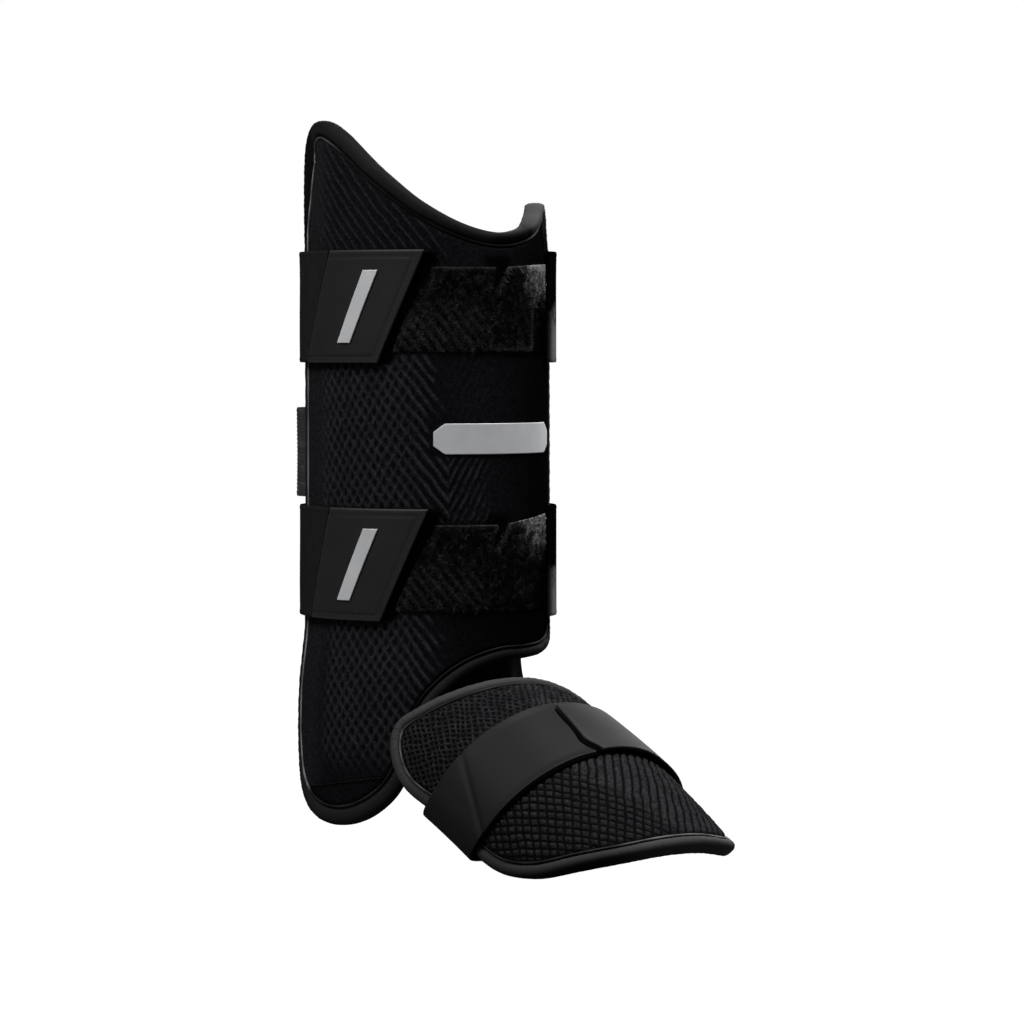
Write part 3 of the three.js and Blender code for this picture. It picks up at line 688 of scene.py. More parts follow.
class Finish:
    """A Principled material with an uneven tone, built up step by step."""

    def __init__(self, name, roughness, specular, sheen=0.0, metallic=0.0):
        self.material = bpy.data.materials.new(name)
        self.material.use_nodes = True
        self.tree = self.material.node_tree
        self.shader = self.tree.nodes["Principled BSDF"]
        self.shader.inputs["Roughness"].default_value = roughness
        self.shader.inputs["Specular IOR Level"].default_value = specular
        self.shader.inputs["Sheen Weight"].default_value = sheen
        self.shader.inputs["Sheen Roughness"].default_value = 0.4
        self.shader.inputs["Metallic"].default_value = metallic
        self.tone = self.grain = None
        self.heights = []

    def link(self, start, finish):
        self.tree.links.new(start, finish)

    def group(self, tree, **values):
        node = add_node(self.tree, "ShaderNodeGroup", node_tree=tree)
        for key, value in values.items():
            node.inputs[key.replace("_", " ").capitalize()].default_value = value
        return node

    def blend(self, factor, low, high):
        """A colour between two, by a factor socket."""
        node = add_node(self.tree, "ShaderNodeMix", data_type="RGBA")
        self.link(factor, node.inputs["Factor"])
        for label, value in (("A", low), ("B", high)):
            socket = [s for s in node.inputs if s.name == label and s.type == "RGBA"][0]
            if isinstance(value, bpy.types.NodeSocket):
                self.link(value, socket)
            else:
                socket.default_value = (*value, 1.0)
        return [s for s in node.outputs if s.type == "RGBA"][0]

    def attribute(self, name):
        return add_node(self.tree, "ShaderNodeAttribute", attribute_name=name).outputs["Fac"]

    def uneven(self, colour, low=0.75, high=1.25, **values):
        """Colours the surface between a darker and a lighter share of one colour."""
        node = self.group(uneven_tone(), **values)
        self.tone = node.outputs["Factor"]
        spread = add_node(self.tree, "ShaderNodeMapRange", {"From Min": 0.3, "From Max": 0.7})
        self.link(self.tone, spread.inputs["Value"])
        dark, light = (tuple(c * share for c in colour) for share in (low, high))
        self.grain = node.outputs["Grain"]
        return self.blend(spread.outputs["Result"], dark, light)

    def rough_range(self, low, high):
        """Roughness that follows the uneven tone."""
        spread = add_node(self.tree, "ShaderNodeMapRange",
                          {"From Min": 0.3, "From Max": 0.7, "To Min": low, "To Max": high})
        self.link(self.tone, spread.inputs["Value"])
        self.link(spread.outputs["Result"], self.shader.inputs["Roughness"])

    def bump(self, height, distance, strength=1.0):
        """Adds a bump on top of those before it."""
        node = add_node(self.tree, "ShaderNodeBump", {"Distance": distance, "Strength": strength})
        self.link(height, node.inputs["Height"])
        if self.heights:
            self.link(self.heights[-1], node.inputs["Normal"])
        self.heights.append(node.outputs["Normal"])

    def weave(self, across, along, depth, strength):
        """Adds the bump of crossed threads with a pitch each way."""
        threads = self.group(crossed_threads(), Pitch_across=across, Pitch_along=along)
        self.bump(threads.outputs["Height"], depth, strength)

    def done(self, colour):
        self.link(colour, self.shader.inputs["Base Color"])
        if self.heights:
            self.link(self.heights[-1], self.shader.inputs["Normal"])
        return self.material


def colours():
    return bpy.context.scene.guard_colours


def sizes():
    return bpy.context.scene.guard_sizes


def shell_finish(name, ridge_colour):
    """Moulded fabric: pits darkened with painted shade, lighter ridges, a mottled nap and a fine knit."""
    if name in bpy.data.materials:
        return bpy.data.materials[name]
    look = Finish(name, roughness=0.8, specular=0.0)
    high = look.uneven(ridge_colour, 0.7, 1.35, Blotch_scale=750.0, Grain_scale=2200.0, Grain_share=0.35)
    pit = look.blend(look.tone, colours().painted_shade, tuple(c * 1.6 for c in colours().painted_shade))
    look.rough_range(0.6, 0.82)
    look.weave(0.7, 0.7, 0.00008, 0.6)
    look.bump(look.grain, 0.00015, 0.6)
    nap = add_node(look.tree, "ShaderNodeMapRange",
                   {"From Min": 0.4, "From Max": 0.6, "To Min": 0.6, "To Max": 1.35})
    look.link(look.tone, nap.inputs["Value"])
    # The attribute read here blends from the pits' painted shade up to the ridge colour
    raised = math_node(look.tree, "MULTIPLY", look.attribute("relief"), nap.outputs["Result"])
    return look.done(look.blend(raised, pit, high))


def shin_finish():
    return shell_finish("Shin moulded fabric", colours().shell)


def foot_finish():
    return shell_finish("Foot moulded fabric", colours().foot_shell)


TAPE = {
    "roughness": 0.65, "specular": 0.04, "tone": (0.8, 1.25), "scales": (45.0, 2600.0, 0.5),
    "rough": (0.55, 0.75), "weave": (0.45, 0.9, 0.00006, 0.5), "grain": (0.00008, 0.4),
    "pit": "relief", "light": 6.0,
}
ELASTIC = {
    "roughness": 0.75, "specular": 0.0, "tone": (0.7, 1.32), "scales": (180.0, 2400.0, 0.6),
    "rough": (0.6, 0.8), "weave": (0.55, 1.1, 0.00015, 0.8), "grain": (0.0001, 0.5), "pit": "relief",
}
WEBBING = {
    "roughness": 0.6, "specular": 0.15, "tone": (0.75, 1.3), "scales": (30.0, 1600.0, 0.6),
    "rough": (0.5, 0.68), "grain": (0.00008, 0.7), "light": 2.2,
}
# tone: darkest and lightest share of the colour. scales: blotches, grain and the grain's share.
# rough: range of roughness. weave: pitch across and along, depth and strength. grain: depth and strength.
# pit: the attribute that takes the colour up from the near black of the painted shade. light: how many times
# lighter it gets at rubbed places and painted highlights.
FINISHES = {
    "Shin edge tape": {"colour": "binding", **TAPE},
    "Foot edge tape": {"colour": "foot_binding", **TAPE},
    # The piping's lightness along the edge is painted light and shade
    "Thin piping": {
        "colour": "piping", "roughness": 0.55, "specular": 0.09, "tone": (0.45, 1.4),
        "scales": (40.0, 1800.0, 0.3), "grain": (0.00006, 0.4), "pit": "worn"},
    "Matte moulded rubber": {
        "colour": "tab", "roughness": 0.55, "specular": 0.3, "tone": (0.75, 1.28),
        "scales": (40.0, 1500.0, 0.7), "rough": (0.48, 0.62), "grain": (0.00006, 0.7), "light": 2.6},
    "Sewing thread": {
        "colour": "thread", "roughness": 0.6, "specular": 0.1, "tone": (0.6, 1.4),
        "scales": (300.0, 4000.0, 0.5), "grain": (0.00005, 0.5)},
    "Woven elastic": {"colour": "elastic", **ELASTIC, "light": 10.0},
    "Rough calf elastic": {"colour": "calf_elastic", **ELASTIC, "light": 5.0},
    "Loop pile": {
        "colour": "loop", "roughness": 0.8, "specular": 0.0, "tone": (0.75, 1.3),
        "scales": (120.0, 2500.0, 0.4), "grain": (0.0002, 0.6), "pit": "worn"},
    "Moulded hooks": {
        "colour": "hook", "roughness": 0.8, "specular": 0.02, "tone": (0.7, 1.5),
        "scales": (90.0, 2500.0, 0.5), "grain": (0.0001, 0.5)},
    "Silver film": {
        "colour": "silver", "roughness": 0.42, "specular": 0.5, "metallic": 0.2, "tone": (0.9, 1.08),
        "scales": (50.0, 2600.0, 0.4), "rough": (0.34, 0.5), "grain": (0.00004, 0.5)},
    "Knit lining": {
        "colour": "lining", "roughness": 0.8, "specular": 0.15, "sheen": 0.05, "tone": (0.75, 1.3),
        "scales": (40.0, 2200.0, 0.5), "weave": (1.1, 1.1, 0.0002, 0.8), "grain": (0.0001, 0.5)},
    "Coated strap": {"colour": "webbing", **WEBBING},
    "Coated flap": {"colour": "flap", **WEBBING},
    # Black rolls standing in as painted shadow along the foot strap and the flap
    "Black edge roll": {
        "colour": "hook", "roughness": 0.85, "specular": 0.02, "tone": (0.8, 1.6),
        "scales": (60.0, 2500.0, 0.5), "grain": (0.00008, 0.5)},
}


def finish_of(name):
    """The material of a row of the table, built the first time it is asked for."""
    if name in bpy.data.materials:
        return bpy.data.materials[name]
    row = FINISHES[name]
    base = getattr(colours(), row["colour"])
    look = Finish(name, row["roughness"], row["specular"], row.get("sheen", 0.0), row.get("metallic", 0.0))
    blotch, grain, share = row["scales"]
    colour = look.uneven(base, *row["tone"], Blotch_scale=blotch, Grain_scale=grain, Grain_share=share)
    if "rough" in row:
        look.rough_range(*row["rough"])
    if "weave" in row:
        look.weave(*row["weave"])
    look.bump(look.grain, *row["grain"])
    if "pit" in row:
        colour = look.blend(look.attribute(row["pit"]), colours().painted_shade, colour)
    if "light" in row:
        light = tuple(channel * row["light"] for channel in base)
        colour = look.blend(look.attribute("worn"), colour, light)
    return look.done(colour)


# Shells

def pad_dip(gap):
    """How far a shell's face sinks next to its binding, at a gap from the binding's inner edge."""
    return -PAD_DIP["depth"] * (1 - ease(PAD_DIP["from"], PAD_DIP["to"], gap))


def shin_outline(columns=100, rows=150):
    return Outline(SHIN_OUTLINE, (SHIN_DEGREE, 1.0), columns, rows)


def foot_outline(columns=84, rows=72):
    return Outline(FOOT_OUTLINE, (1.0, FOOT_DEGREE), columns, rows)


def lobe_line(angle):
    """Height of the seam across the lobe over the ankle."""
    share = (angle - LOBE_SEAM["front"]) / (LOBE_SEAM["back"] - LOBE_SEAM["front"])
    return mix(LOBE_SEAM["front_height"], LOBE_SEAM["back_height"], share)


def lobe_dip(flat):
    """The smooth sewn foot of the lobe lies a little lower than the ribs above it."""
    angle, height = read_shin(flat)
    return -LOBE_SEAM["depth"] * ease(0.6, -1.4, height - lobe_line(angle)) * ease(48, 56, angle)


def shin_light_and_shade(flat):
    """Painted light and shade of the plain fabric, which set the tone of its grooves: painted shade darkens
    the front towards the inner side and low down, painted light lightens the outer side, more so towards its
    back, and the top, and the lobe's smooth foot is dark.
    """
    angle, height = read_shin(flat)
    front = mix(0.04, 0.26, ease(-22, 18, angle)) * mix(0.45, 1.0, ease(-95, -60, height))
    tone = mix(front, 0.2, ease(18, 40, angle)) + 0.3 * ease(88, 104, angle) + 0.05 * ease(92, 104, height)
    # Painted shade in the notch under each loop patch's top edge
    for closure in CLOSURES.values():
        notch = ease(-1, 3, angle) * ease(17, 13, angle)
        notch = notch * ease(17, 13, np.abs(height - closure["loop_top"] + 9))
        tone = tone * (1 - 0.9 * notch)
    return mix(tone, 0.2, ease(1, -1, height - lobe_line(angle)) * ease(45, 55, angle))


def foot_tone(flat):
    return np.full(flat.shape[:-1], 0.3)


def bound_pad(name, outline, wall, surface, slot, finish, tone, extra_lift=None):
    """A padded shell whose faces sink next to the binding."""
    loop = outline.inset(1.0, -2.0)
    flat = outline.fill(loop)
    gap = distance_inside(flat, outline.inset(1.0))[0].reshape(flat.shape[:2])
    lift = pad_dip(gap)
    if extra_lift is not None:
        lift = lift + extra_lift(flat)
    puff = PAD_PUFF["depth"] * ease(0, PAD_PUFF["reach"], gap)
    outer = surface(flat, lift)
    inner = surface(flat, -wall - lift * 0.6 - puff)
    piece = new_slab(name, outer, inner, flat, finish, slot, {"relief": tone(flat)})
    piece.data.materials.append(finish_of("Knit lining"))
    count = (flat.shape[0] - 1) * (flat.shape[1] - 1)
    inside = np.zeros(len(piece.data.polygons), np.int32)
    inside[count:2 * count] = 1
    piece.data.polygons.foreach_set("material_index", inside)
    return piece


def bead(outline, wall, surface, sides=20):
    """The rolled bead round a shell: a rounded ring with slight puckers."""
    turn = turns(sides)
    across = np.sign(np.cos(turn)) * np.abs(np.cos(turn)) ** BEAD_POWER
    rise = np.sign(np.sin(turn)) * np.abs(np.sin(turn)) ** BEAD_POWER
    count = len(outline.edge)
    place = np.arange(count)
    pucker = 0.10 * np.sin(place * 1.9) + 0.07 * np.sin(place * 0.73 + 1.0)
    inset = outline.rim * (0.5 - 0.5 * across[None])
    flat = outline.edge[:, None] - outline.out[:, None] * inset[..., None]
    lift = -wall / 2 + (wall / 2 + BEAD_PROUD + pucker[:, None]) * rise[None]
    chart = np.stack(np.broadcast_arrays((turn * 4)[None], run_along(outline.edge)[:, None]), -1)
    return *ring_mesh(surface(flat, lift)), chart


def piping(outline, surface, radius, inset, rise, sides=8):
    """A thin cord that runs beside the binding."""
    turn = turns(sides)
    centre = outline.inset(1.0, inset)
    flat = centre[:, None] + outline.out[:, None] * (radius * np.cos(turn))[None, :, None]
    lift = np.broadcast_to(rise + radius * np.sin(turn)[None], flat.shape[:2])
    return ring_mesh(surface(flat, lift))


def shin_edge_tones(outline):
    """Tones along the shin's edge, painted light and shade: the tape darker at the top's outer back corner
    and low in front, painted shade on its outer face and inner side, a painted highlight near the inner tip
    of the top, and the cord's painted light and shade with a slight ripple.
    """
    angle, height = outline.edge[:, 0] / SHIN_DEGREE, outline.edge[:, 1]
    high = ease(90, 108, height)
    tape = 1 - 0.75 * high * ease(104, 114, angle)
    tape = tape * mix(1.0, mix(0.3, 1.0, ease(-2, 52, angle)), ease(-60, -80, height))
    worn = 0.7 * high * ease(-12, -24, angle) * ease(-34, -28, angle)
    cord = mix(mix(0.024, 0.08, ease(42, 58, angle)), 1.0, ease(108, 116, angle))
    cord = mix(cord, 0.016 + 0.36 * ease(78, 96, angle), high * ease(117, 107, angle))
    cord = cord + 0.3 * high * ease(-7, -16, angle) * ease(-34, -28, angle)
    crown_shade = 0.7 * high * ease(6, 18, angle)
    hollow_shade = 0.95 * high * ease(16, 6, angle) * ease(-22, -12, angle)
    return tape, crown_shade, hollow_shade, worn, cord * (0.75 + 0.25 * np.sin(np.arange(len(angle)) * 0.37))


def foot_edge_tones(outline):
    """The same tones along the foot's edge: painted highlights on the heel's tape, which is lightest, and at
    the toe tip, painted shade on the tape's outer face towards the toe, and the cord's painted light.
    """
    along, wrap = outline.edge[:, 0], outline.edge[:, 1] / FOOT_DEGREE
    tip = ease(75, 95, along) * ease(45, 15, wrap)
    worn = 0.1 * ease(10, -10, along) + 0.13 * tip
    cord = 0.08 + 0.29 * ease(30, 10, along) * ease(50, 75, wrap) + 0.5 * tip
    cord = cord * (0.75 + 0.25 * np.sin(np.arange(len(along)) * 0.41))
    crown_shade = 0.7 * ease(55, 80, along) + 0.2 * ease(100, 125, along)
    return np.ones(len(along)), crown_shade, np.zeros(len(along)), worn, cord


def bound_edge(name, outline, wall, surface, node, finish, tones):
    """The binding's bead and piping, as two pieces."""
    points, faces, chart = bead(outline, wall, surface)
    tape, crown_shade, hollow_shade, worn, cord = tones
    sides = len(points) // len(tape)
    facing = np.cos(turns(sides))
    # Painted shade: the tape darkens on its outer face and on its inner side next to the cord
    tone = tape[:, None] * (1 - crown_shade[:, None] * ease(-0.3, 0.8, facing))
    tone = tone * (1 - hollow_shade[:, None] * ease(0.85, 0.5, facing))
    values = {"relief": tone, "worn": np.repeat(worn, sides)}
    ring = new_piece(name, points, faces, finish, "binding", chart, values)
    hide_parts(node)
    radius = sizes().piping_radius / MM
    cord_points, cord_faces = piping(outline, surface, radius, PIPING_INSET, PIPING_LIFT)
    values = {"worn": np.repeat(cord, len(cord_points) // len(cord))}
    new_piece(name + "_piping", cord_points, cord_faces, finish_of("Thin piping"), "binding", values=values)


class GUARD_OT_shin_shell(bpy.types.Operator):
    """Build the padded shin shell"""

    bl_idname = "guard.shin_shell"
    bl_label = "Shin shell"

    def execute(self, context):
        pad = bound_pad("shin_pad", shin_outline(), SHIN_WALL, on_shin, "shell_fabric", shin_finish(),
                        shin_light_and_shade, lobe_dip)
        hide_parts("shin_shell")
        angle = np.linspace(LOBE_SEAM["front"] - 2, LOBE_SEAM["back"], 60)
        path = np.stack([angle * SHIN_DEGREE, lobe_line(angle)], -1)
        stitches = stitch_row(on_shin, path, 0.05, sizes().stitch_length / MM, 0.8, 0.3)
        new_piece("lobe_stitches", *stitches, finish_of("Sewing thread"), "shell_fabric")
        return {"FINISHED"}


class GUARD_OT_foot_shell(bpy.types.Operator):
    """Build the padded foot shell"""

    bl_idname = "guard.foot_shell"
    bl_label = "Foot shell"

    def execute(self, context):
        pad = bound_pad("foot_pad", foot_outline(), FOOT_WALL, on_foot, "shell_fabric", foot_finish(),
                        foot_tone)
        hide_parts("foot_shell")
        return {"FINISHED"}


class GUARD_OT_bindings(bpy.types.Operator):
    """Build the rolled bindings and the thin piping beside them"""

    bl_idname = "guard.bindings"
    bl_label = "Bindings"

    def execute(self, context):
        shin_tape, foot_tape = finish_of("Shin edge tape"), finish_of("Foot edge tape")
        shin, foot = shin_outline(170, 230), foot_outline(120, 110)
        bound_edge("shin_bead", shin, SHIN_WALL, on_shin, "shin_binding", shin_tape, shin_edge_tones(shin))
        bound_edge("foot_bead", foot, FOOT_WALL, on_foot, "foot_binding", foot_tape, foot_edge_tones(foot))
        return {"FINISHED"}


# Raised ribs

def rib_lattice(slopes, phases, low, high):
    """Points where two families of ribs cross, with finer lines at the ribs' edges, over a flat box."""
    corners = np.array([(x, y) for x in (low[0], high[0]) for y in (low[1], high[1])])
    reach = corners @ slopes.T
    lines = []
    for family in (0, 1):
        whole = np.arange(math.floor(reach[:, family].min()), math.ceil(reach[:, family].max()))
        lines.append((whole[:, None] + np.array(phases)[None]).ravel())
    phase = np.stack(np.meshgrid(*lines, indexing="ij"), -1)
    return phase @ np.linalg.inv(slopes).T


def rib_skin(flat, shown, settle):
    """Faces of a lattice that touch the shown area. settle moves points left outside onto its border."""
    rows, columns = flat.shape[:2]
    faces = grid_faces(rows, columns)
    kept = faces[shown.ravel()[faces].any(1)]
    used, renumbered = np.unique(kept, return_inverse=True)
    points = flat.reshape(-1, 2)[used]
    outside = ~shown.ravel()[used]
    points[outside] = settle(points[outside])
    return points, renumbered.reshape(-1, 4)


def away(phase):
    """Distance from the nearest whole phase, from 0 on a line to 0.5 between lines."""
    return np.abs(phase - np.round(phase))


def closure_slant(closure, height, top, bottom):
    """Angle of a slanted edge of a tab at a height."""
    share = (height - closure["centre"]) / STRAP_WIDTH + 0.5
    return mix(closure[bottom], closure[top], np.clip(share, 0, 1))


def under_tab(angle, height, margin):
    """True where a tab and its strap cover the shin, less a margin."""
    covered = np.zeros(np.shape(angle), bool)
    for closure in CLOSURES.values():
        end = closure_slant(closure, height, "end_top", "end_bottom")
        level = np.abs(height - closure["centre"]) < STRAP_WIDTH / 2 - margin
        covered |= level & (angle > end + margin)
    return covered


def clear_of_patches(angle, height):
    """Goes to 0 under the loop patches and the hook pads."""
    clear = np.ones(np.shape(angle))
    for closure in CLOSURES.values():
        end = closure_slant(closure, height, "end_top", "end_bottom")
        level = ease(closure["loop_bottom"] - 2.5, closure["loop_bottom"] - 0.5, height)
        level = level * (1 - ease(closure["loop_top"] + 0.5, closure["loop_top"] + 2.5, height))
        hooks = 1 - ease(HOOK_HEIGHT / 2, HOOK_HEIGHT / 2 + 2, np.abs(height - closure["centre"]))
        near_end = ease(end - HOOK_REACH - 2, end - HOOK_REACH, angle)
        before_end = 1 - ease(end, end + 2, angle)
        clear *= 1 - np.maximum(level * before_end, hooks * near_end)
    return clear


def blotches(flat, size, name):
    """Smooth random values from -1 to 1 over a flat surface, in patches of about a size."""
    table = np.random.default_rng(SEED + BLOTCH_SEEDS[name]).uniform(-1, 1, (64, 64))
    at = flat / size
    low = np.floor(at).astype(int)
    share = at - low
    x, y = np.moveaxis(share * share * (3 - 2 * share), -1, 0)
    a, b, c, d = (
        table[(low[..., 0] + i) % 64, (low[..., 1] + j) % 64] for i in (0, 1) for j in (0, 1)
    )
    return mix(mix(a, b, y), mix(c, d, y), x)


def drift(flat, reach, size, gap):
    """A small uneven shift of moulded ribs, none at the shell's border."""
    shift = np.stack([blotches(flat, size, name) for name in ("across", "along")], -1)
    return shift * reach * ease(0.5, 4.0, gap)[:, None]


def shin_relief(flat, gap):
    """Height of the shin's ribs, from 0 to 1."""
    side = np.abs(flat[:, 0] - CHEVRON_ANGLE * SHIN_DEGREE) + CHEVRON_ANGLE * SHIN_DEGREE
    angle, height = read_shin(flat)
    front = angle < CHEVRON_ANGLE
    place = np.stack([side, height], -1)
    phase = np.where(front[:, None], place @ FRONT_RIBS.T, place @ SHIN_RIBS.T)
    horn = ease(92, 100, height)
    first = 1 - ease(0.10 - 0.08 * horn, 0.30 - 0.12 * horn, away(phase[:, 0]))
    second = 1 - ease(0.10, 0.30, away(phase[:, 1]))
    side_end = mix(104, 97, ease(-70, -120, height))
    fade = ease(side_end, side_end - 10, angle) * ease(-180, -160, height)
    first = first * mix(fade, ease(108, 90, angle) * 0.95, horn)
    net = ease(40, 60, angle) * ease(side_end, side_end - 10, angle) * ease(-178, -158, height) * (1 - horn)
    second = second * net
    raised = 0.72 * (1 - (1 - first) * (1 - second)) + 0.28 * first * mix(1, second, net)
    broken = 0.35 + 0.65 * ease(-0.45, 0.25, blotches(flat, 3.0, "front_ribs"))
    turned = ease(9, 19, angle) * mix(0.15, 0.8, ease(-6, -16, height)) * broken
    ragged = CHEVRON_ANGLE + 2 + 5 * blotches(flat, 5.0, "chevron")
    plain = np.maximum(ease(-8, 4, height), ease(-58, -66, height))
    ended = mix(1.0, ease(ragged, ragged + 8, angle), 0.9 * plain)
    raised = np.where(front, raised * turned, raised * ended)
    centre = SHIN_STRIP["centre"]
    strip = (1 - ease(SHIN_STRIP["height"] / 2 + 1, SHIN_STRIP["height"] / 2 + 3, np.abs(height - centre)))
    strip = strip * (1 - ease(SHIN_STRIP["finish"] + 1, SHIN_STRIP["finish"] + 3, angle))
    return raised * clear_of_patches(angle, height) * ease(0.5, 3.5, gap) * (1 - strip)


def shin_skin(name, mirrored):
    """The shin's ribs on one side of the chevron line. Those in front are laid out mirrored at it."""
    outline = shin_outline()
    border = outline.inset(1.0, 0.8)
    fold = CHEVRON_ANGLE * SHIN_DEGREE
    zone = RIB_ZONES[name]
    high_side, high_top, low_bottom = zone["side"], zone["top"], zone["bottom"]
    low_corner, high_corner = (fold - 6, low_bottom - 8), (high_side + 6, high_top + 8)
    flat = rib_lattice(zone["ribs"], SHIN_RIB_PHASES, low_corner, high_corner)
    rows, columns = flat.shape[:2]
    boxed = (flat[..., 0] > fold) & (flat[..., 0] < high_side)
    boxed &= (flat[..., 1] > low_bottom) & (flat[..., 1] < high_top)
    shown = np.zeros((rows, columns), bool)
    placed = flat[boxed]
    if mirrored:
        placed = np.stack([2 * fold - placed[:, 0], placed[:, 1]], -1)
    inside = distance_inside(placed, border)[0] > 0
    inside &= ~under_tab(placed[:, 0] / SHIN_DEGREE, placed[:, 1], 2.0)
    shown[boxed] = inside

    def settle(points):
        points = points.copy()
        points[:, 0] = np.clip(points[:, 0], fold, high_side)
        points[:, 1] = np.clip(points[:, 1], low_bottom, high_top)
        real = points.copy()
        if mirrored:
            real[:, 0] = 2 * fold - real[:, 0]
        far, nearest = distance_inside(real, border)
        real = np.where((far < 0)[:, None], nearest, real)
        if mirrored:
            real[:, 0] = 2 * fold - real[:, 0]
        return real

    points, faces = rib_skin(flat, shown, settle)
    if mirrored:
        points[:, 0] = 2 * fold - points[:, 0]
    gap = distance_inside(points, outline.inset(1.0))[0]
    relief = shin_relief(points, gap) * (0.82 + 0.18 * blotches(points, 4.0, "shin_ribs"))
    lift = pad_dip(gap) + lobe_dip(points) + RIB_BASE + relief * sizes().rib_height / MM
    shift = drift(points, SHIN_SHIFT, SHIN_SHIFT_SIZE, gap)
    placed = points + shift * ease(0, 5, np.abs(points[:, :1] - fold))
    # Painted shade: the grooves take the plain fabric's painted tone and only the raised ribs reach full
    # colour
    tone = mix(shin_light_and_shade(points), 1.0, relief)
    new_piece(name, on_shin(placed, lift), faces if mirrored else faces[:, ::-1], shin_finish(),
              "shell_fabric", points, {"relief": tone}, closed=False)


def foot_border(along):
    """Wrap of the line that parts the foot's plain ribs, near the ridge, from its bricks and net."""
    return np.where(along > 45, 25 - (along - 75) * 0.4, 10 + 0 * along)


def brick_relief(flat, gap):
    """Height of the ribs and bricks over the toes, from 0 in the grooves to 1."""
    phase = flat @ FOOT_RIBS.T
    across, down = away(phase[:, 0]), away(phase[:, 1])
    border = foot_border(flat[:, 0])
    cut = ease(border - 5, border + 5, flat[:, 1])
    bricks = ease(0.08, 0.24, across) * (1 - cut * (1 - ease(0.08, 0.24, down)))
    return bricks * ease(0.6, 3.2, gap)


def heel_relief(flat, gap):
    """Height of the fine net over the instep, from 0 in the pits to 1."""
    phase = flat @ HEEL_RIBS.T
    across, down = away(phase[:, 0]), away(phase[:, 1])
    border = foot_border(flat[:, 0])
    net = 1 - ease(0.10, 0.26, across) * ease(0.10, 0.26, down)
    ribs = 1 - ease(0.22, 0.42, across)
    return mix(ribs, net, ease(border - 4, border + 10, flat[:, 1])) * ease(0.6, 3.2, gap)


def foot_skin(name, slopes, phases, relief_of, along_from, along_to, shift, lumps):
    """One zone of the foot's ribs, between two places along the ridge line."""
    outline = foot_outline()
    border = outline.inset(1.0, 0.8)
    low, high = border.min(0) - 5, border.max(0) + 5
    low[0], high[0] = max(low[0], along_from - 5), min(high[0], along_to + 5)
    flat = rib_lattice(slopes, phases, low, high)
    shown = (distance_inside(flat, border)[0] > 0).reshape(flat.shape[:2])
    shown &= (flat[..., 0] > along_from) & (flat[..., 0] < along_to)

    def settle(points):
        points = np.stack([np.clip(points[:, 0], along_from, along_to), points[:, 1]], -1)
        far, nearest = distance_inside(points, border)
        return np.where((far < 0)[:, None], nearest, points)

    points, faces = rib_skin(flat, shown, settle)
    gap = distance_inside(points, outline.inset(1.0))[0]
    uneven = 1 - lumps + lumps * blotches(points, 3.0, "foot_ribs")
    relief = relief_of(points, gap) * uneven
    lift = pad_dip(gap) + RIB_BASE + relief * sizes().brick_height / MM
    placed = points + drift(points, shift, FOOT_SHIFT_SIZE, gap)
    border = foot_border(points[:, 0])
    # Painted shade: the grooves between the ribs are darkened, and the bricks and net away from the ridge are
    # darker still
    tone = (0.13 + 0.87 * relief) * mix(1.0, 0.78, ease(border - 8, border + 12, points[:, 1]))
    new_piece(name, on_foot(placed, lift), faces, foot_finish(), "shell_fabric", points,
              {"relief": tone}, closed=False)


class GUARD_OT_ribs(bpy.types.Operator):
    """Build the raised ribs of both shells"""

    bl_idname = "guard.ribs"
    bl_label = "Ribs"

    def execute(self, context):
        shin_skin("shin_ribs_outer", mirrored=False)
        shin_skin("shin_ribs_front", mirrored=True)
        strap_start, strap_finish = FOOT_STRAP["start"], FOOT_STRAP["start"] + FOOT_STRAP["width"]
        foot_skin("instep_ribs", HEEL_RIBS, HEEL_RIB_PHASES, heel_relief, INSTEP_FROM,
                  strap_start + UNDER_STRAP, shift=0.95, lumps=0.36)
        foot_skin("toe_ribs", FOOT_RIBS, FOOT_RIB_PHASES, brick_relief, strap_finish - UNDER_STRAP,
                  TOE_TO, shift=0.5, lumps=0.25)
        return {"FINISHED"}


# Closures

def shin_slab(place, columns, rows, lift, thickness, edge):
    """Both faces of a slab on the shin, from place(u, v) and the lift and thickness, numbers or functions."""
    u, v = np.meshgrid(columns, rows)
    flat = place(u, v)
    wide = np.abs(place(np.ones(1), np.full(1, 0.5)) - place(np.zeros(1), np.full(1, 0.5)))[0, 0]
    tall = np.abs(place(np.full(1, 0.5), np.ones(1)) - place(np.full(1, 0.5), np.zeros(1)))[0, 1]
    gap = np.minimum(np.minimum(u, 1 - u) * wide, np.minimum(v, 1 - v) * tall)
    low, deep = (
        value(flat, u, v) if callable(value) else np.full(u.shape, value) for value in (lift, thickness)
    )
    drop = round_drop(gap, edge)
    top = low + deep - drop
    bottom = low + np.minimum(drop, 0.4 * edge)
    return on_shin(flat, top), on_shin(flat, bottom), flat, gap


def tab_place(closure, u, v):
    end = mix(closure["end_bottom"], closure["end_top"], v)
    seam = mix(closure["seam_bottom"], closure["seam_top"], v)
    return np.stack([mix(end, seam, u) * SHIN_DEGREE, closure["centre"] + (v - 0.5) * STRAP_WIDTH], -1)


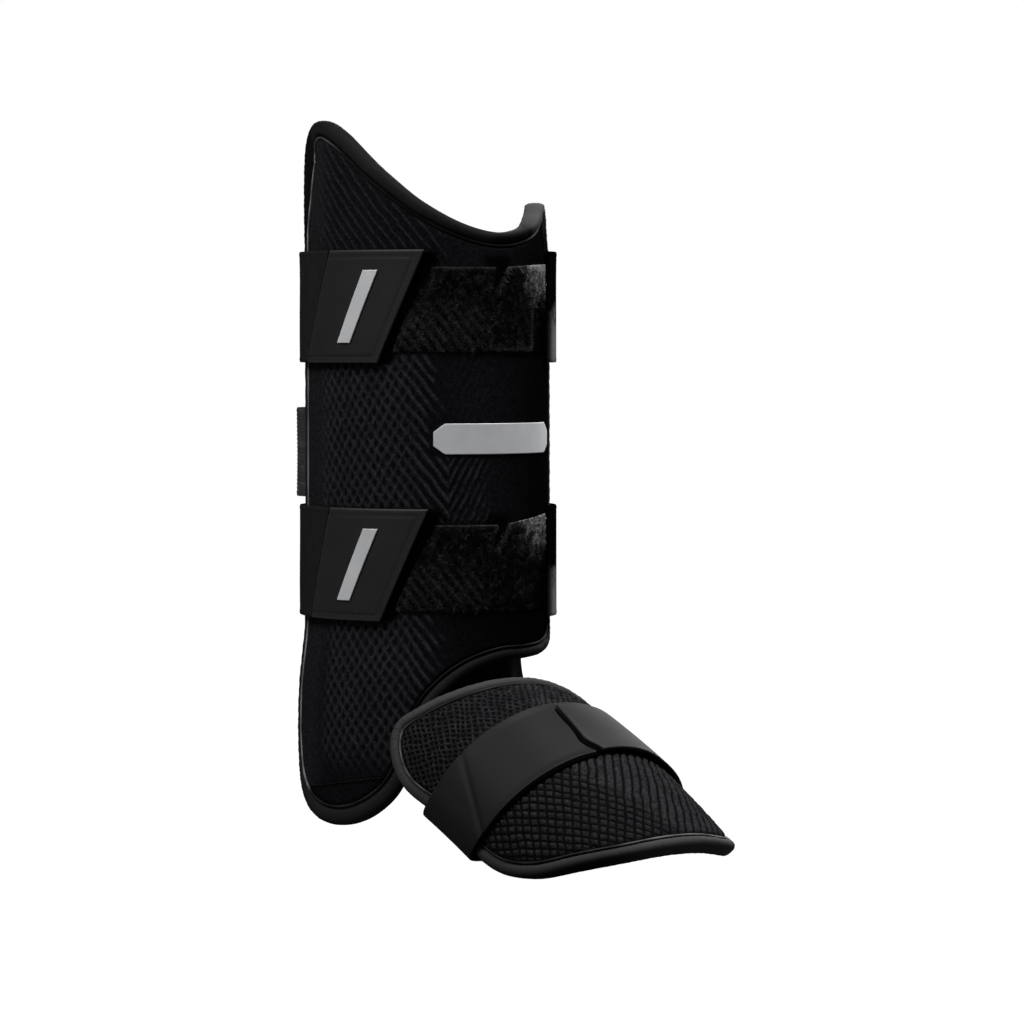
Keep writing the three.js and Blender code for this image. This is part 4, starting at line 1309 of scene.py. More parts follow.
def build_tab(name, closure):
    """A moulded tab with a rounded edge, a pressed border line and stitches."""
    columns = edge_steps(TAB_LENGTH, 0.9, TAB_EDGE)
    rows = edge_steps(STRAP_WIDTH, 0.9, TAB_EDGE)

    def place(u, v):
        return tab_place(closure, u, v)

    def thickness(flat, u, v):
        gap = np.minimum(np.minimum(v, 1 - v) * STRAP_WIDTH, u * TAB_RUN)
        line = ridge(gap, TAB_LINE, 0.55)
        rim = 1 - ease(1.6, TAB_LINE, gap)
        return TAB_THICKNESS - 0.35 * line - 0.15 * rim - 0.25 * ease(0.985, 1.0, u)

    outer, inner, flat, gap = shin_slab(place, columns, rows, TAB_LIFT, thickness, TAB_EDGE)
    # Painted highlight along the tab's rounded edge
    worn = 0.55 * ridge(gap, 0.5, 0.55)
    tab = new_slab(name, outer, inner, flat, finish_of("Matte moulded rubber"), "tab", {"worn": worn})
    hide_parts(name.replace("tab_", "strap_tab_"))
    across = np.linspace(0.08, 0.985, 40)
    up = np.linspace(0.075, 0.925, 40)
    paths = [
        np.stack([across, np.full(40, TAB_STITCHES["side"] / STRAP_WIDTH)], -1),
        np.stack([across, np.full(40, 1 - TAB_STITCHES["side"] / STRAP_WIDTH)], -1),
        np.stack([np.full(40, TAB_STITCHES["end"] / TAB_RUN), up], -1),
    ]
    length, lift = sizes().stitch_length / MM, TAB_LIFT + TAB_THICKNESS - 0.16
    gap, radius = TAB_STITCHES["gap"], TAB_STITCHES["radius"]
    rows_of_stitches = [
        stitch_row(on_shin, place(path[:, 0], path[:, 1]), lift, length, gap, radius) for path in paths
    ]
    new_piece(name + "_stitches", *join_meshes(rows_of_stitches), finish_of("Sewing thread"), "tab")


def build_hook_pad(name, closure):
    """A hook pad: a thin plate with rows of small hooks."""
    def place(u, v):
        end = mix(closure["end_bottom"], closure["end_top"], v)
        angle = end + mix(-HOOK_REACH * mix(0.62, 1.0, ease(0.35, 1.0, v)), HOOK_COVER, u)
        return np.stack([angle * SHIN_DEGREE, closure["centre"] + (v - 0.5) * HOOK_HEIGHT], -1)

    columns, rows = edge_steps(HOOK_LENGTH, 1.5, 0.3), edge_steps(HOOK_HEIGHT, 1.5, 0.3)
    outer, inner, _, _ = shin_slab(place, columns, rows, HOOK_LIFT, HOOK_THICKNESS - 0.35, 0.3)
    parts = [slab_mesh(outer, inner)]
    u, v = np.meshgrid(np.linspace(0.03, 0.3, HOOK_COLUMNS), np.linspace(0.02, 0.98, HOOK_ROWS))
    base = place(u, v).reshape(-1, 2)
    low = HOOK_LIFT + HOOK_THICKNESS - 0.45
    starts = on_shin(base, np.full(len(base), low))
    ends = on_shin(base + (0.35, 0.1), np.full(len(base), HOOK_LIFT + HOOK_THICKNESS + 0.1))
    ups = unit(np.cross(ends - starts, np.array((0.0, 0.0, 1.0))))
    parts.append(capsules(starts, ends, ups, HOOK_RADIUS * MM, squash=1.0))
    pad = new_piece(name, *join_meshes(parts), finish_of("Moulded hooks"), "hook")
    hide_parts(name.replace("hooks_", "hook_pad_"))


def loop_place(closure, u, v):
    """Flat place on a loop patch, from its inner end to the slanted end under the tab."""
    end = mix(closure["end_bottom"], closure["end_top"], v) + LOOP_COVER
    top = closure["loop_top"] - np.interp(u, LOOP_NOTCH[:, 0], LOOP_NOTCH[:, 1])
    top = top + closure["loop_rise"] * np.clip(1 - u / 0.42, 0, 1) ** 0.75
    height = mix(closure["loop_bottom"], top, v)
    lean = LOOP_LEAN["angle"] * np.clip((closure["loop_top"] - height) / LOOP_LEAN["depth"], 0, 1)
    lean = lean * ridge(u, LOOP_LEAN["share"], LOOP_LEAN["spread"])
    return np.stack([(mix(LOOP_START, end, u) + lean) * SHIN_DEGREE, height], -1)


def pressed_ribs(flat):
    """The shin's ribs as they show through a loop patch."""
    return 1 - ease(0.12, 0.31, away((flat @ SHIN_RIBS.T)[..., 0]))


def loop_wear(flat, closure):
    """How light the pile is: mottled, lightest at the inner end of the top, which is rubbed pile with a
    painted highlight, and nearly black below it as painted shade.
    """
    angle, height = read_shin(flat)
    rise = (height - closure["loop_bottom"]) / (closure["loop_top"] - closure["loop_bottom"])
    mottle = 0.42 + 0.7 * blotches(flat, 1.7, "pile") + 0.6 * blotches(flat, 0.9, "fine_pile")
    mottle = np.clip(mottle, 0, 1.4) ** 2
    ragged = 0.12 * blotches(flat, 5.0, "worn") + 0.08 * blotches(flat, 2.5, "fine_worn")
    inner = ease(0, -25, angle + 40 * ragged + 18 * (1 - rise))
    # Rubbed pile with a painted highlight at the inner end of the top
    worn = closure["wear"] * inner * ease(0.46, 0.98, rise + ragged)
    # Painted shade: the lower part of the inner end goes nearly black
    black = 1 - 0.92 * ease(-12, -22, angle + 20 * ragged) * ease(0.88, 0.48, rise + ragged)
    end = closure_slant(closure, height, "end_top", "end_bottom") - HOOK_REACH
    edge = 0.22 * ease(0.955, 0.985, rise)
    edge = edge + 0.16 * ridge(angle, end - 2.4, 0.8) * ease(0.5, 0.8, rise)
    edge = edge + 0.2 * pressed_ribs(flat) * ease(8, 24, angle) * ease(0.75, 0.3, rise)
    drop = closure["loop_top"] - height
    # Painted highlight along the fold at the notch
    fold = ridge(angle, NOTCH_FOLD["angle"] + NOTCH_FOLD["slope"] * drop, NOTCH_FOLD["spread"])
    edge = edge + mix(0.75, 0.35, drop / LOOP_LEAN["depth"]) * fold * ease(17, 12, drop)
    start, finish, level = LOOP_SEAM["from"], LOOP_SEAM["to"], height - closure["loop_bottom"]
    seam = ease(start - 2, start, angle) * ease(finish + 4, finish, angle)
    seam = seam * ridge(level, LOOP_SEAM["low"], 0.7)
    upright = ridge(angle, start, 0.7) * ease(0.0, 0.1, rise) * ease(0.66, 0.5, rise)
    light = 0.008 + 0.056 * mottle + worn * (0.25 + 2.3 * mottle ** 1.2) + 0.27 * edge
    # Painted shade along a crease near the bottom of the patch
    crease = ridge(level, 3.5, 0.8) * ease(-22, -18, angle) * ease(15, 10, angle)
    light = light * (1 - closure["crease_shade"] * crease)
    return np.clip(light * black + closure["seam_light"] * np.maximum(seam, upright), 0, 1)


def build_loop_patch(name, closure, seed):
    """A loop patch: a thin lumpy pad and its pile."""
    columns = np.unique(np.concatenate([edge_steps(LOOP_LENGTH, 0.7, 0.4), LOOP_NOTCH[:, 0]]))
    rows = edge_steps(LOOP_HEIGHT, 0.7, 0.4)
    u, v = np.meshgrid(columns, rows)
    flat = loop_place(closure, u, v)
    gap = np.minimum(np.minimum(u, 1 - u) * LOOP_RUN, np.minimum(v, 1 - v) * LOOP_HEIGHT)
    angle = flat[..., 0] / SHIN_DEGREE
    showing = ease(8, 24, angle) * ease(0.75, 0.35, v)
    lumps = 0.2 * blotches(flat, 2.2, "pile") + 0.14 * blotches(flat, 1.2, "fine_pile")
    lumps = lumps + 0.55 * pressed_ribs(flat) * showing
    lumps = (lumps - 0.3 * ridge(gap, 2.6, 0.5)) * ease(0.3, 1.0, gap)
    thin = 0.55 * ease(6, 0, v * LOOP_HEIGHT) * ease(-5, 12, angle)
    top = LOOP_LIFT + LOOP_THICKNESS - round_drop(gap, 0.5) + lumps - thin
    pile_finish = finish_of("Loop pile")
    patch = new_slab(name, on_shin(flat, top), on_shin(flat, np.full(u.shape, LOOP_LIFT)), flat,
                     pile_finish, "loop", {"worn": loop_wear(flat, closure) * 0.45})
    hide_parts(name.replace("loop_pad_", "loop_patch_"))
    build_pile(name + "_pile", closure, pile_finish, seed)


def build_pile(name, closure, material, seed):
    """A coat of short arched fibres all over a loop patch."""
    chance = np.random.default_rng(SEED + seed)
    count = sizes().fibre_count
    u, v = chance.random(count), chance.random(count)
    base = loop_place(closure, mix(0.012, 0.96, u), mix(0.035, 0.965, v))
    heading = chance.random(count) * 2 * math.pi
    length = chance.uniform(*PILE["length"], count)
    step = np.stack([np.cos(heading), np.sin(heading)], -1) * length[:, None]
    bend = np.stack([-step[:, 1], step[:, 0]], -1) * chance.uniform(*PILE["bend"], count)[:, None]
    half_width = chance.uniform(*PILE["half_width"], count)[:, None]
    wide = np.stack([-np.sin(heading), np.cos(heading)], -1) * half_width
    ground = LOOP_LIFT + LOOP_THICKNESS - 0.15
    peak = ground + chance.uniform(*PILE["rise"], count)
    middles = [base, base + step * 0.5 + bend * 0.5, base + step]
    lifts = [np.full(count, ground), peak, mix(ground, peak, chance.random(count) * 0.7)]
    sections = [
        np.stack([on_shin(centre - wide, lift), on_shin(centre + wide, lift + 0.04)], 1)
        for centre, lift in zip(middles, lifts)
    ]
    fibres = np.stack(sections, 1)
    first = np.arange(count)[:, None] * 6
    strip = np.array([(0, 1, 3, 2), (2, 3, 5, 4)])
    faces = (first[:, None] + strip[None]).reshape(-1, 4)
    # The fibres take the same painted light and shade as the patch under them
    bright = loop_wear(base, closure) * (0.3 + 1.2 * chance.random(count) ** 2)
    new_piece(name, fibres.reshape(-1, 3), faces, material, "loop",
              values={"worn": np.repeat(bright, 6)}, closed=False)


class GUARD_OT_tabs(bpy.types.Operator):
    """Build the strap tabs and the hook pads under them"""

    bl_idname = "guard.tabs"
    bl_label = "Tabs and hook pads"

    def execute(self, context):
        for place, closure in CLOSURES.items():
            build_tab("tab_" + place, closure)
            build_hook_pad("hooks_" + place, closure)
        return {"FINISHED"}


class GUARD_OT_loop_patches(bpy.types.Operator):
    """Build the fuzzy loop patches"""

    bl_idname = "guard.loop_patches"
    bl_label = "Loop patches"

    def execute(self, context):
        for number, (place, closure) in enumerate(CLOSURES.items()):
            build_loop_patch("loop_pad_" + place, closure, number)
        return {"FINISHED"}


def strap_tones(flat, v):
    """Tone and lightening of a strap: towards its inner end it is darkened nearly to black, with a pale
    corner below.
    """
    angle = flat[..., 0] / SHIN_DEGREE
    ragged = 0.6 * blotches(flat, 4.0, "panel") + 0.4 * blotches(flat, 1.8, "fine_end_darkening")
    inner = ease(STRAP_END_DARKENING["from"], STRAP_END_DARKENING["to"], angle)
    pale = inner * ease(STRAP_END_DARKENING["pale_from"], STRAP_END_DARKENING["pale_to"], angle + 7 * ragged)
    pale = pale * mix(0.08, 1.0, ease(STRAP_END_DARKENING["fade_to"], STRAP_END_DARKENING["fade_from"], angle))
    pale = pale * ease(0.5, 0.25, v + 0.16 * ragged)
    return 1 - 0.96 * inner * (1 - pale), pale * (0.8 + 0.2 * ragged)


def band_tones(flat, v):
    """Tone of the band behind the calf, and its mottle, which lightens it in patches."""
    return np.ones(v.shape), 0.14 * ease(0.0, 0.8, blotches(flat, 3.0, "band"))


def elastic_band(name, node, finish, tones, place, lifts, window, thickness, length, width, rib):
    """A woven elastic band with fine lengthwise ribs and selvedges."""
    columns = edge_steps(length, 2.0, 0.6)
    rows = edge_steps(width, 0.55, 0.6)

    def lift(flat, u, v):
        angle = flat[..., 0] / SHIN_DEGREE
        wave = 0.25 * np.sin(angle * 0.11 + v * 3.0) * np.sin(v * math.pi)
        return read_row(lifts, angle, window=window) + wave * ease(112, 135, angle) * ease(310, 285, angle)

    def thick(flat, u, v):
        ribs = rib * np.cos(v * width / 2.2 * 2 * math.pi)
        selvedge = 0.15 * ridge(np.minimum(v, 1 - v) * width, 1.6, 0.7)
        return thickness - 0.15 + ribs + selvedge

    outer, inner, flat, _ = shin_slab(place, columns, rows, lift, thick, 0.6)
    tone, worn = tones(flat, np.broadcast_to(rows[:, None], flat.shape[:2]))
    band = new_slab(name, outer, inner, flat, finish, "elastic", {"relief": tone, "worn": worn})
    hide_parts(node)
    middle = outer[len(rows) // 2]
    cut = float(np.linalg.norm(np.diff(middle, axis=0), axis=1).sum())


class GUARD_OT_straps(bpy.types.Operator):
    """Build the two elastic straps and the band behind the calf"""

    bl_idname = "guard.straps"
    bl_label = "Elastic straps"

    def execute(self, context):
        for place, closure in CLOSURES.items():
            def strap_place(u, v, closure=closure):
                start = mix(closure["seam_bottom"], closure["seam_top"], v) + STRAP_SEAM_GAP
                angle = mix(start, STRAP_END, u)
                return np.stack([angle * SHIN_DEGREE, closure["centre"] + (v - 0.5) * STRAP_WIDTH], -1)

            elastic_band("elastic_" + place, "strap_" + place, finish_of("Woven elastic"), strap_tones,
                         strap_place, STRAP_LIFTS, 4.0, STRAP_THICKNESS, STRAP_LENGTH, STRAP_WIDTH, STRAP_RIB)

        def band_place(u, v):
            angle = mix(BAND_FROM, BAND_TO, u)
            return np.stack([angle * SHIN_DEGREE, mix(BAND_BOTTOM, BAND_TOP, v)], -1)

        elastic_band("calf_elastic", "calf_band", finish_of("Rough calf elastic"), band_tones, band_place,
                     BAND_LIFTS, 3.0, BAND_THICKNESS, BAND_LENGTH, BAND_TOP - BAND_BOTTOM, BAND_RIB)
        return {"FINISHED"}


def silver_strip(name, node, place, length, width, lift):
    """A thin film strip with rounded edges."""
    columns, rows = edge_steps(length, 1.5, 0.3), edge_steps(width, 1.0, 0.3)
    outer, inner, flat, _ = shin_slab(place, columns, rows, lift, STRIP_THICKNESS, 0.3)
    strip = new_slab(name, outer, inner, flat, finish_of("Silver film"), "silver")
    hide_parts(node)


class GUARD_OT_strips(bpy.types.Operator):
    """Build the plain silver strips"""

    bl_idname = "guard.strips"
    bl_label = "Silver strips"

    def execute(self, context):
        for place, closure in CLOSURES.items():
            slant = (closure["end_top"] - closure["end_bottom"]) * TAB_STRIP["height"] / STRAP_WIDTH
            span = TAB_STRIP["width"] / SHIN_DEGREE

            def tab_strip_place(u, v, slant=slant, span=span, centre=closure["centre"]):
                angle = TAB_STRIP["angle"] + slant * (v - 0.5) + span * (u - 0.5)
                return np.stack([angle * SHIN_DEGREE, centre + (v - 0.5) * TAB_STRIP["height"]], -1)

            silver_strip("silver_tab_" + place, "tab_strip_" + place, tab_strip_place,
                         TAB_STRIP["width"], TAB_STRIP["height"], TAB_LIFT + TAB_THICKNESS + STRIP_LIFT)

        def shin_strip_place(u, v):
            angle = mix(SHIN_STRIP["start"], SHIN_STRIP["finish"], u)
            share = mix(SHIN_STRIP["taper"], 1.0, np.clip(np.minimum(u, 1 - u) * 14, 0, 1))
            height = SHIN_STRIP["centre"] + (v - 0.5) * SHIN_STRIP["height"] * share
            return np.stack([angle * SHIN_DEGREE, height], -1)

        silver_strip("silver_shin", "shin_strip", shin_strip_place,
                     SHIN_STRIP["length"], SHIN_STRIP["height"], STRIP_LIFT)
        return {"FINISHED"}


# Ankle and foot

class GUARD_OT_tongue(bpy.types.Operator):
    """Build the cloth tongue between the two shells"""

    bl_idname = "guard.tongue"
    bl_label = "Ankle tongue"

    def execute(self, context):
        angle = np.linspace(TONGUE_FROM, TONGUE_TO, 70)[None]
        share = np.linspace(0, 1, 80)[:, None]
        drop = read_row(TONGUE_DROPS, angle, 1, 6.0)
        drop_lift = read_row(TONGUE_DROPS, angle, 2, 6.0)
        faces_of = []
        for raise_by in (0.0, -TONGUE_THICKNESS):
            folds = 0.5 * np.sin(angle * 0.35 + share * 2.0) * np.sin(share * math.pi)
            in_face, out_face = raise_by - FOOT_WALL - 0.8, raise_by - SHIN_WALL - 0.8
            ends = [
                in_foot(TONGUE_REACH, *foot_section(angle, TONGUE_SEAT + in_face)),
                in_foot(TONGUE_BACK, *foot_section(angle, TONGUE_DIP + in_face)),
                shin_point(angle, drop, drop_lift + out_face + folds.mean()),
                shin_point(angle, np.full_like(angle, TONGUE_TOP), TONGUE_SEAT + out_face),
            ]
            rest = 1 - share
            weights = [rest ** 3, 3 * share * rest ** 2, 3 * share ** 2 * rest, share ** 3]
            grid = sum(point * weight[..., None] for point, weight in zip(ends, weights))
            grid[..., 1] += folds * MM
            faces_of.append(grid)
        outer, inner = faces_of
        across = np.linalg.norm(np.diff(outer, axis=1), axis=2).sum(1).mean()
        down = np.linalg.norm(np.diff(outer, axis=0), axis=2).sum(0).mean()
        chart = np.stack(np.broadcast_arrays(angle * SHIN_DEGREE, share * down / MM), -1)
        tongue = new_slab("tongue", outer, inner, chart, finish_of("Knit lining"), "lining")
        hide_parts("ankle_tongue")
        return {"FINISHED"}


def foot_strap_route(count):
    """The foot strap's inner face seen along the foot, evenly stepped, with its outward direction."""
    wrap = np.linspace(FOOT_STRAP["wrap_from"], FOOT_STRAP["wrap_to"] - 0.3, 15)
    over = np.stack(foot_section(wrap, np.interp(wrap, FOOT_STRAP_LIFTS[:, 0], FOOT_STRAP_LIFTS[:, 1])), -1)
    tail_wrap = np.array([FOOT_STRAP_TAIL["wrap_from"], FOOT_STRAP_TAIL["wrap_to"]])
    tail = np.stack(foot_section(tail_wrap, FOOT_STRAP_TAIL["lift"]), -1)
    places = np.concatenate([over, np.array(FOOT_STRAP_UNDER), tail])
    fine = spline(places, np.linspace(0, len(places) - 1, 2000), closed=False)
    steps = run_along(fine)
    at = np.linspace(0, steps[-1], count)
    route = np.stack([np.interp(at, steps, fine[:, k]) for k in (0, 1)], -1)
    along = unit(np.gradient(route, axis=0))
    return route, np.stack([along[:, 1], -along[:, 0]], -1), at


def roll_taper(count):
    """Size of a roll's sections, which get small at both ends."""
    share = np.linspace(0, 1, count)
    return np.sqrt(np.clip(np.minimum(share, 1 - share) * 25, 0.02, 1))[:, None]


def shadow_roll_piece(name, sections):
    """A black roll through sections of points, closed at both ends, standing in as a painted shadow."""
    count, sides = sections.shape[:2]
    row, side = np.meshgrid(np.arange(count - 1), np.arange(sides), indexing="ij")
    here, beside = row * sides + side, row * sides + (side + 1) % sides
    faces = np.stack([here, beside, beside + sides, here + sides], -1).reshape(-1, 4).tolist()
    faces.append(list(range(sides)))
    faces.append(list(range((count - 1) * sides, count * sides)))
    new_piece(name, sections.reshape(-1, 3), faces, finish_of("Black edge roll"), "foot_webbing")


def shadow_roll(name, path, lift, half_width, half_height, sides=12):
    """A black roll along a flat path on the foot, standing in as a painted shadow."""
    turn = turns(sides)
    along = np.gradient(path, axis=0)
    across = unit(np.stack([along[:, 1], -along[:, 0]], -1))
    taper = roll_taper(len(path))
    flat = path[:, None] + across[:, None] * (half_width * taper * np.cos(turn)[None])[..., None]
    rise = lift[:, None] + half_height[:, None] * taper * np.sin(turn)[None]
    shadow_roll_piece(name, on_foot(flat, rise))


def flap_end(share):
    """Wrap of the flap's end across it, rounded at the toe corner."""
    return mix(FLAP_END_START, FLAP_END_FINISH, share) - 5.0 * ease(0.7, 1.05, share)


class GUARD_OT_foot_strap(bpy.types.Operator):
    """Build the strap over and under the foot and the flap on its end"""

    bl_idname = "guard.foot_strap"
    bl_label = "Foot strap and flap"

    def strap(self):
        route, out, at = foot_strap_route(260)
        across = edge_steps(FOOT_STRAP["width"], 1.2, 0.6)
        place, share = at[:, None] / at[-1], across[None]
        gap = np.minimum(share, 1 - share) * FOOT_STRAP["width"]
        drop = round_drop(gap, 0.6)
        over = ease(0.42, 0.34, place)
        flare = 0.7 * over * (1 - ease(0, 5, gap)) * ease(0.1, 0.17, place)
        line = FOOT_STRAP_CREASE["from"] + FOOT_STRAP_CREASE["slope"] * share
        crease = FOOT_STRAP_CREASE["depth"] * ridge(at[:, None], line, FOOT_STRAP_CREASE["spread"])
        top = FOOT_STRAP["thickness"] - drop + flare - crease
        low = np.minimum(drop, 0.2) + flare * 0.8 + 0 * place
        along = FOOT_STRAP["start"] + share * FOOT_STRAP["width"] + 0 * place

        def face(raise_by):
            section = route[:, None] + out[:, None] * raise_by[..., None]
            return in_foot(along, section[..., 0], section[..., 1])

        chart = np.stack(np.broadcast_arrays(at[:, None], along), -1)
        # Painted highlight along the strap's heel-side edge
        worn = 0.5 * ridge(share * FOOT_STRAP["width"], 0.6, 0.5) + 0 * place
        piece = new_slab("instep_strap", face(top), face(low), chart, finish_of("Coated strap"),
                         "foot_webbing", {"worn": worn})
        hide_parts("foot_strap")

    # A black roll under the strap's toe-side edge, standing in as the painted shadow there
    def strap_edge(self):
        route, out, at = foot_strap_route(260)
        fold = at[np.argmax(route[:, 1] > FOOT_STRAP_SHADOW["fold_depth"])]
        kept = (at > FOOT_STRAP_SHADOW["from"]) & (at < fold + FOOT_STRAP_SHADOW["past_fold"])
        sunk = ease(fold - 10, fold, at[kept])
        middle = route[kept] + out[kept] * mix(1.0, -0.5, sunk)[:, None]
        edge = FOOT_STRAP["start"] + FOOT_STRAP["width"] - 0.9 * sunk
        turn = turns(12)
        taper = roll_taper(len(middle))
        rise = mix(0.85, 1.4, sunk)[:, None] * taper * np.sin(turn)
        section = middle[:, None] + out[kept][:, None] * rise[..., None]
        wide = FOOT_STRAP_SHADOW["half_width"] * taper * np.cos(turn)
        points = in_foot(edge[:, None] + wide, section[..., 0], section[..., 1])
        shadow_roll_piece("instep_strap_edge", points)

    def flap(self):
        across = edge_steps(FLAP_WIDTH, 1.2, 0.6)
        up = edge_steps(FLAP_LENGTH, 1.2, 0.6)
        share, rise = np.meshgrid(across, up)
        wrap = mix(FLAP_LOW, flap_end(share), rise)
        lift, flare, start, finish = (read_row(FLAP_ROWS, wrap, column, 5.0) for column in (1, 2, 3, 4))
        gap = np.minimum(np.minimum(share, 1 - share) * FLAP_ACROSS, np.minimum(rise, 1 - rise) * FLAP_UP)
        drop = round_drop(gap, 0.6)
        low = lift + flare * share
        flat = np.stack([mix(start, finish, share), wrap * FOOT_DEGREE], -1)
        outer, inner = on_foot(flat, low + FLAP_THICKNESS - drop), on_foot(flat, low + drop * 0.3)
        # Painted highlights: the flap lightens towards its end and along the rim of that end
        worn = 0.5 * ease(0.55, 0.97, rise) * ease(0.25, 0.8, share)
        worn = worn + 0.5 * ridge((1 - rise) * FLAP_UP, 1.0, 0.9) * ease(0.1, 0.4, share)
        piece = new_slab("instep_flap", outer, inner, flat, finish_of("Coated flap"), "foot_webbing",
                         {"worn": worn})
        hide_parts("foot_flap")

    # Black rolls: under the flap's toe-side edge, for its dark edge and the painted shadow under it, and
    # along its end as painted shadow
    def flap_shadow_rolls(self):
        wrap = np.linspace(FLAP_LOW + 2, FLAP_END_FINISH - 0.5, 90)
        lift, flare, finish = (read_row(FLAP_ROWS, wrap, column, 5.0) for column in (1, 2, 4))
        path = np.stack([finish - 0.9, wrap * FOOT_DEGREE], -1)
        low = lift + flare
        shadow_roll("instep_flap_edge", path, low * 0.5 + 0.6, 1.3, low * 0.5 - 0.1)
        share = np.linspace(0.02, 0.98, 60)
        wrap = flap_end(share) + 0.9 + 0.4 * np.sin(share * 9.0)
        path = np.stack([mix(FLAP_ROWS[-1, 3], FLAP_ROWS[-1, 4], share), wrap * FOOT_DEGREE], -1)
        wide = mix(0.9, 2.3, share)[:, None]
        shadow_roll("instep_flap_end", path, np.full(60, 2.2), wide, np.full(60, 0.8))

    def execute(self, context):
        self.strap()
        self.strap_edge()
        self.flap()
        self.flap_shadow_rolls()
        return {"FINISHED"}


# Stage

def part_by_camera(tree, seen, other, output):
    """Shows one shader to the camera and gives every other ray another one."""
    blend = tree.nodes.new("ShaderNodeMixShader")
    path = tree.nodes.new("ShaderNodeLightPath")
    tree.links.new(path.outputs["Is Camera Ray"], blend.inputs["Fac"])
    tree.links.new(other.outputs[0], blend.inputs[1])
    tree.links.new(seen.outputs[0], blend.inputs[2])
    tree.links.new(blend.outputs[0], tree.nodes[output].inputs["Surface"])


def area_light(name, place, target, size, power):
    """A square soft light that looks at a target."""
    data = bpy.data.lights.new(name, "AREA")
    data.shape = "SQUARE"
    data.size = size
    data.energy = power
    light = bpy.data.objects.new(name, data)
    light.location = place
    light.rotation_euler = (Vector(target) - Vector(place)).to_track_quat("-Z", "Y").to_euler()
    bpy.context.scene.collection.objects.link(light)


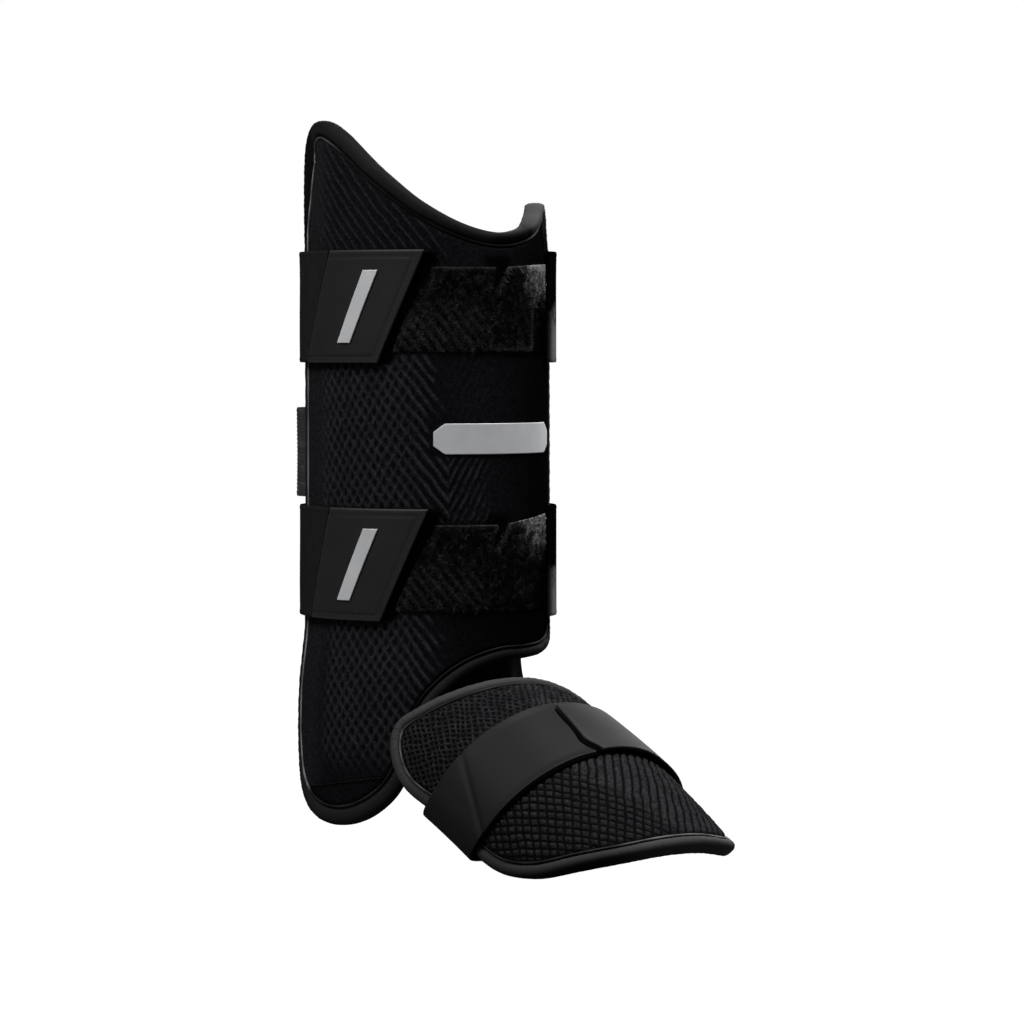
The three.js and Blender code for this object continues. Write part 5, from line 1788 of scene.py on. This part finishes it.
class GUARD_OT_stage(bpy.types.Operator):
    """Set up the floor, the light and the camera"""

    bl_idname = "guard.stage"
    bl_label = "Stage"

    def camera(self):
        turn, rise = CAMERA_AZIMUTH, CAMERA_ELEVATION
        right = Vector((math.cos(turn), math.sin(turn), 0))
        toward = Vector((math.sin(turn) * math.cos(rise), -math.cos(turn) * math.cos(rise), math.sin(rise)))
        up = toward.cross(right)
        data = bpy.data.cameras.new("camera")
        data.sensor_width = 36.0
        data.lens = CAMERA_DISTANCE / MM / PHOTO_MM_PER_PIXEL / PHOTO_PIXELS * data.sensor_width
        data.clip_end = 50.0
        camera = bpy.data.objects.new("camera", data)
        pan_right, pan_up = (pixels * PHOTO_MM_PER_PIXEL * MM for pixels in PHOTO_PAN)
        target = right * pan_right + up * pan_up
        turned = Matrix((right, up, toward)).transposed().to_4x4()
        camera.matrix_world = Matrix.Translation(target + toward * CAMERA_DISTANCE) @ turned
        bpy.context.scene.collection.objects.link(camera)
        bpy.context.scene.camera = camera
        return right, toward, up

    def floor(self):
        turn = turns(FLOOR_SIDES)
        height = np.full(FLOOR_SIDES, CAD_BOX[0][2] - FLOOR_GAP)
        rim = np.stack([FLOOR_RADIUS * np.cos(turn), FLOOR_RADIUS * np.sin(turn), height], -1)
        mesh = bpy.data.meshes.new("floor")
        mesh.from_pydata(rim.tolist(), [], [tuple(range(FLOOR_SIDES))])
        floor = bpy.data.objects.new("floor", mesh)
        look = Finish("Pale floor", roughness=0.9, specular=0.0)
        colour = look.uneven(
            (0.05, 0.05, 0.05), 0.99, 1.01, Blotch_scale=2.0, Grain_scale=40.0, Grain_share=0.2)
        look.shader.inputs["Emission Color"].default_value = (1, 1, 1, 1)
        look.shader.inputs["Emission Strength"].default_value = 1.0
        mesh.materials.append(look.done(colour))
        dim = add_node(look.tree, "ShaderNodeBsdfDiffuse", {"Color": (0.12, 0.12, 0.12, 1)})
        part_by_camera(look.tree, look.shader, dim, "Material Output")
        bpy.context.scene.collection.objects.link(floor)

    def world(self):
        world = bpy.data.worlds.new("studio")
        bpy.context.scene.world = world
        world.use_nodes = True
        tree = world.node_tree
        seen = tree.nodes["Background"]
        seen.inputs["Color"].default_value = (1, 1, 1, 1)
        seen.inputs["Strength"].default_value = 1.0
        glow = add_node(tree, "ShaderNodeBackground", {"Color": (1, 1, 1, 1), "Strength": WORLD_GLOW})
        part_by_camera(tree, seen, glow, "World Output")

    def execute(self, context):
        right, toward, up = self.camera()
        self.floor()
        self.world()
        for name, near, aside, above, size, power in LIGHTS:
            place = Vector(LIGHT_TARGET) + toward * near + right * aside + up * above
            area_light(name, place, LIGHT_TARGET, size, power)
        context.scene.view_settings.view_transform = "Standard"
        return {"FINISHED"}


PIECE_OPERATORS = (
    GUARD_OT_stage, GUARD_OT_shin_shell, GUARD_OT_foot_shell, GUARD_OT_ribs, GUARD_OT_bindings,
    GUARD_OT_loop_patches, GUARD_OT_tabs, GUARD_OT_straps, GUARD_OT_strips, GUARD_OT_tongue,
    GUARD_OT_foot_strap,
)


class GUARD_PT_panel(bpy.types.Panel):
    """Lists the guard's sizes, colours and pieces"""

    bl_idname = "GUARD_PT_panel"
    bl_label = "Leg guard"
    bl_space_type = "VIEW_3D"
    bl_region_type = "UI"
    bl_category = "Leg guard"

    def draw(self, context):
        for group in (context.scene.guard_sizes, context.scene.guard_colours):
            for name in group.bl_rna.properties.keys():
                if name not in {"rna_type", "name"}:
                    self.layout.prop(group, name)
        for operator in PIECE_OPERATORS:
            self.layout.operator(operator.bl_idname)


CLASSES = (GuardSizes, GuardColours, *PIECE_OPERATORS, GUARD_PT_panel)


def register():
    for kind in CLASSES:
        bpy.utils.register_class(kind)
    bpy.types.Scene.guard_sizes = bpy.props.PointerProperty(type=GuardSizes)
    bpy.types.Scene.guard_colours = bpy.props.PointerProperty(type=GuardColours)


def unregister():
    del bpy.types.Scene.guard_colours
    del bpy.types.Scene.guard_sizes
    for kind in reversed(CLASSES):
        bpy.utils.unregister_class(kind)


def main():
    register()
    bpy.ops.guard.stage()
    bpy.ops.guard.shin_shell()
    bpy.ops.guard.foot_shell()
    bpy.ops.guard.ribs()
    bpy.ops.guard.bindings()
    bpy.ops.guard.loop_patches()
    bpy.ops.guard.tabs()
    bpy.ops.guard.straps()
    bpy.ops.guard.strips()
    bpy.ops.guard.tongue()
    bpy.ops.guard.foot_strap()


if __name__ == "__main__":
    main()
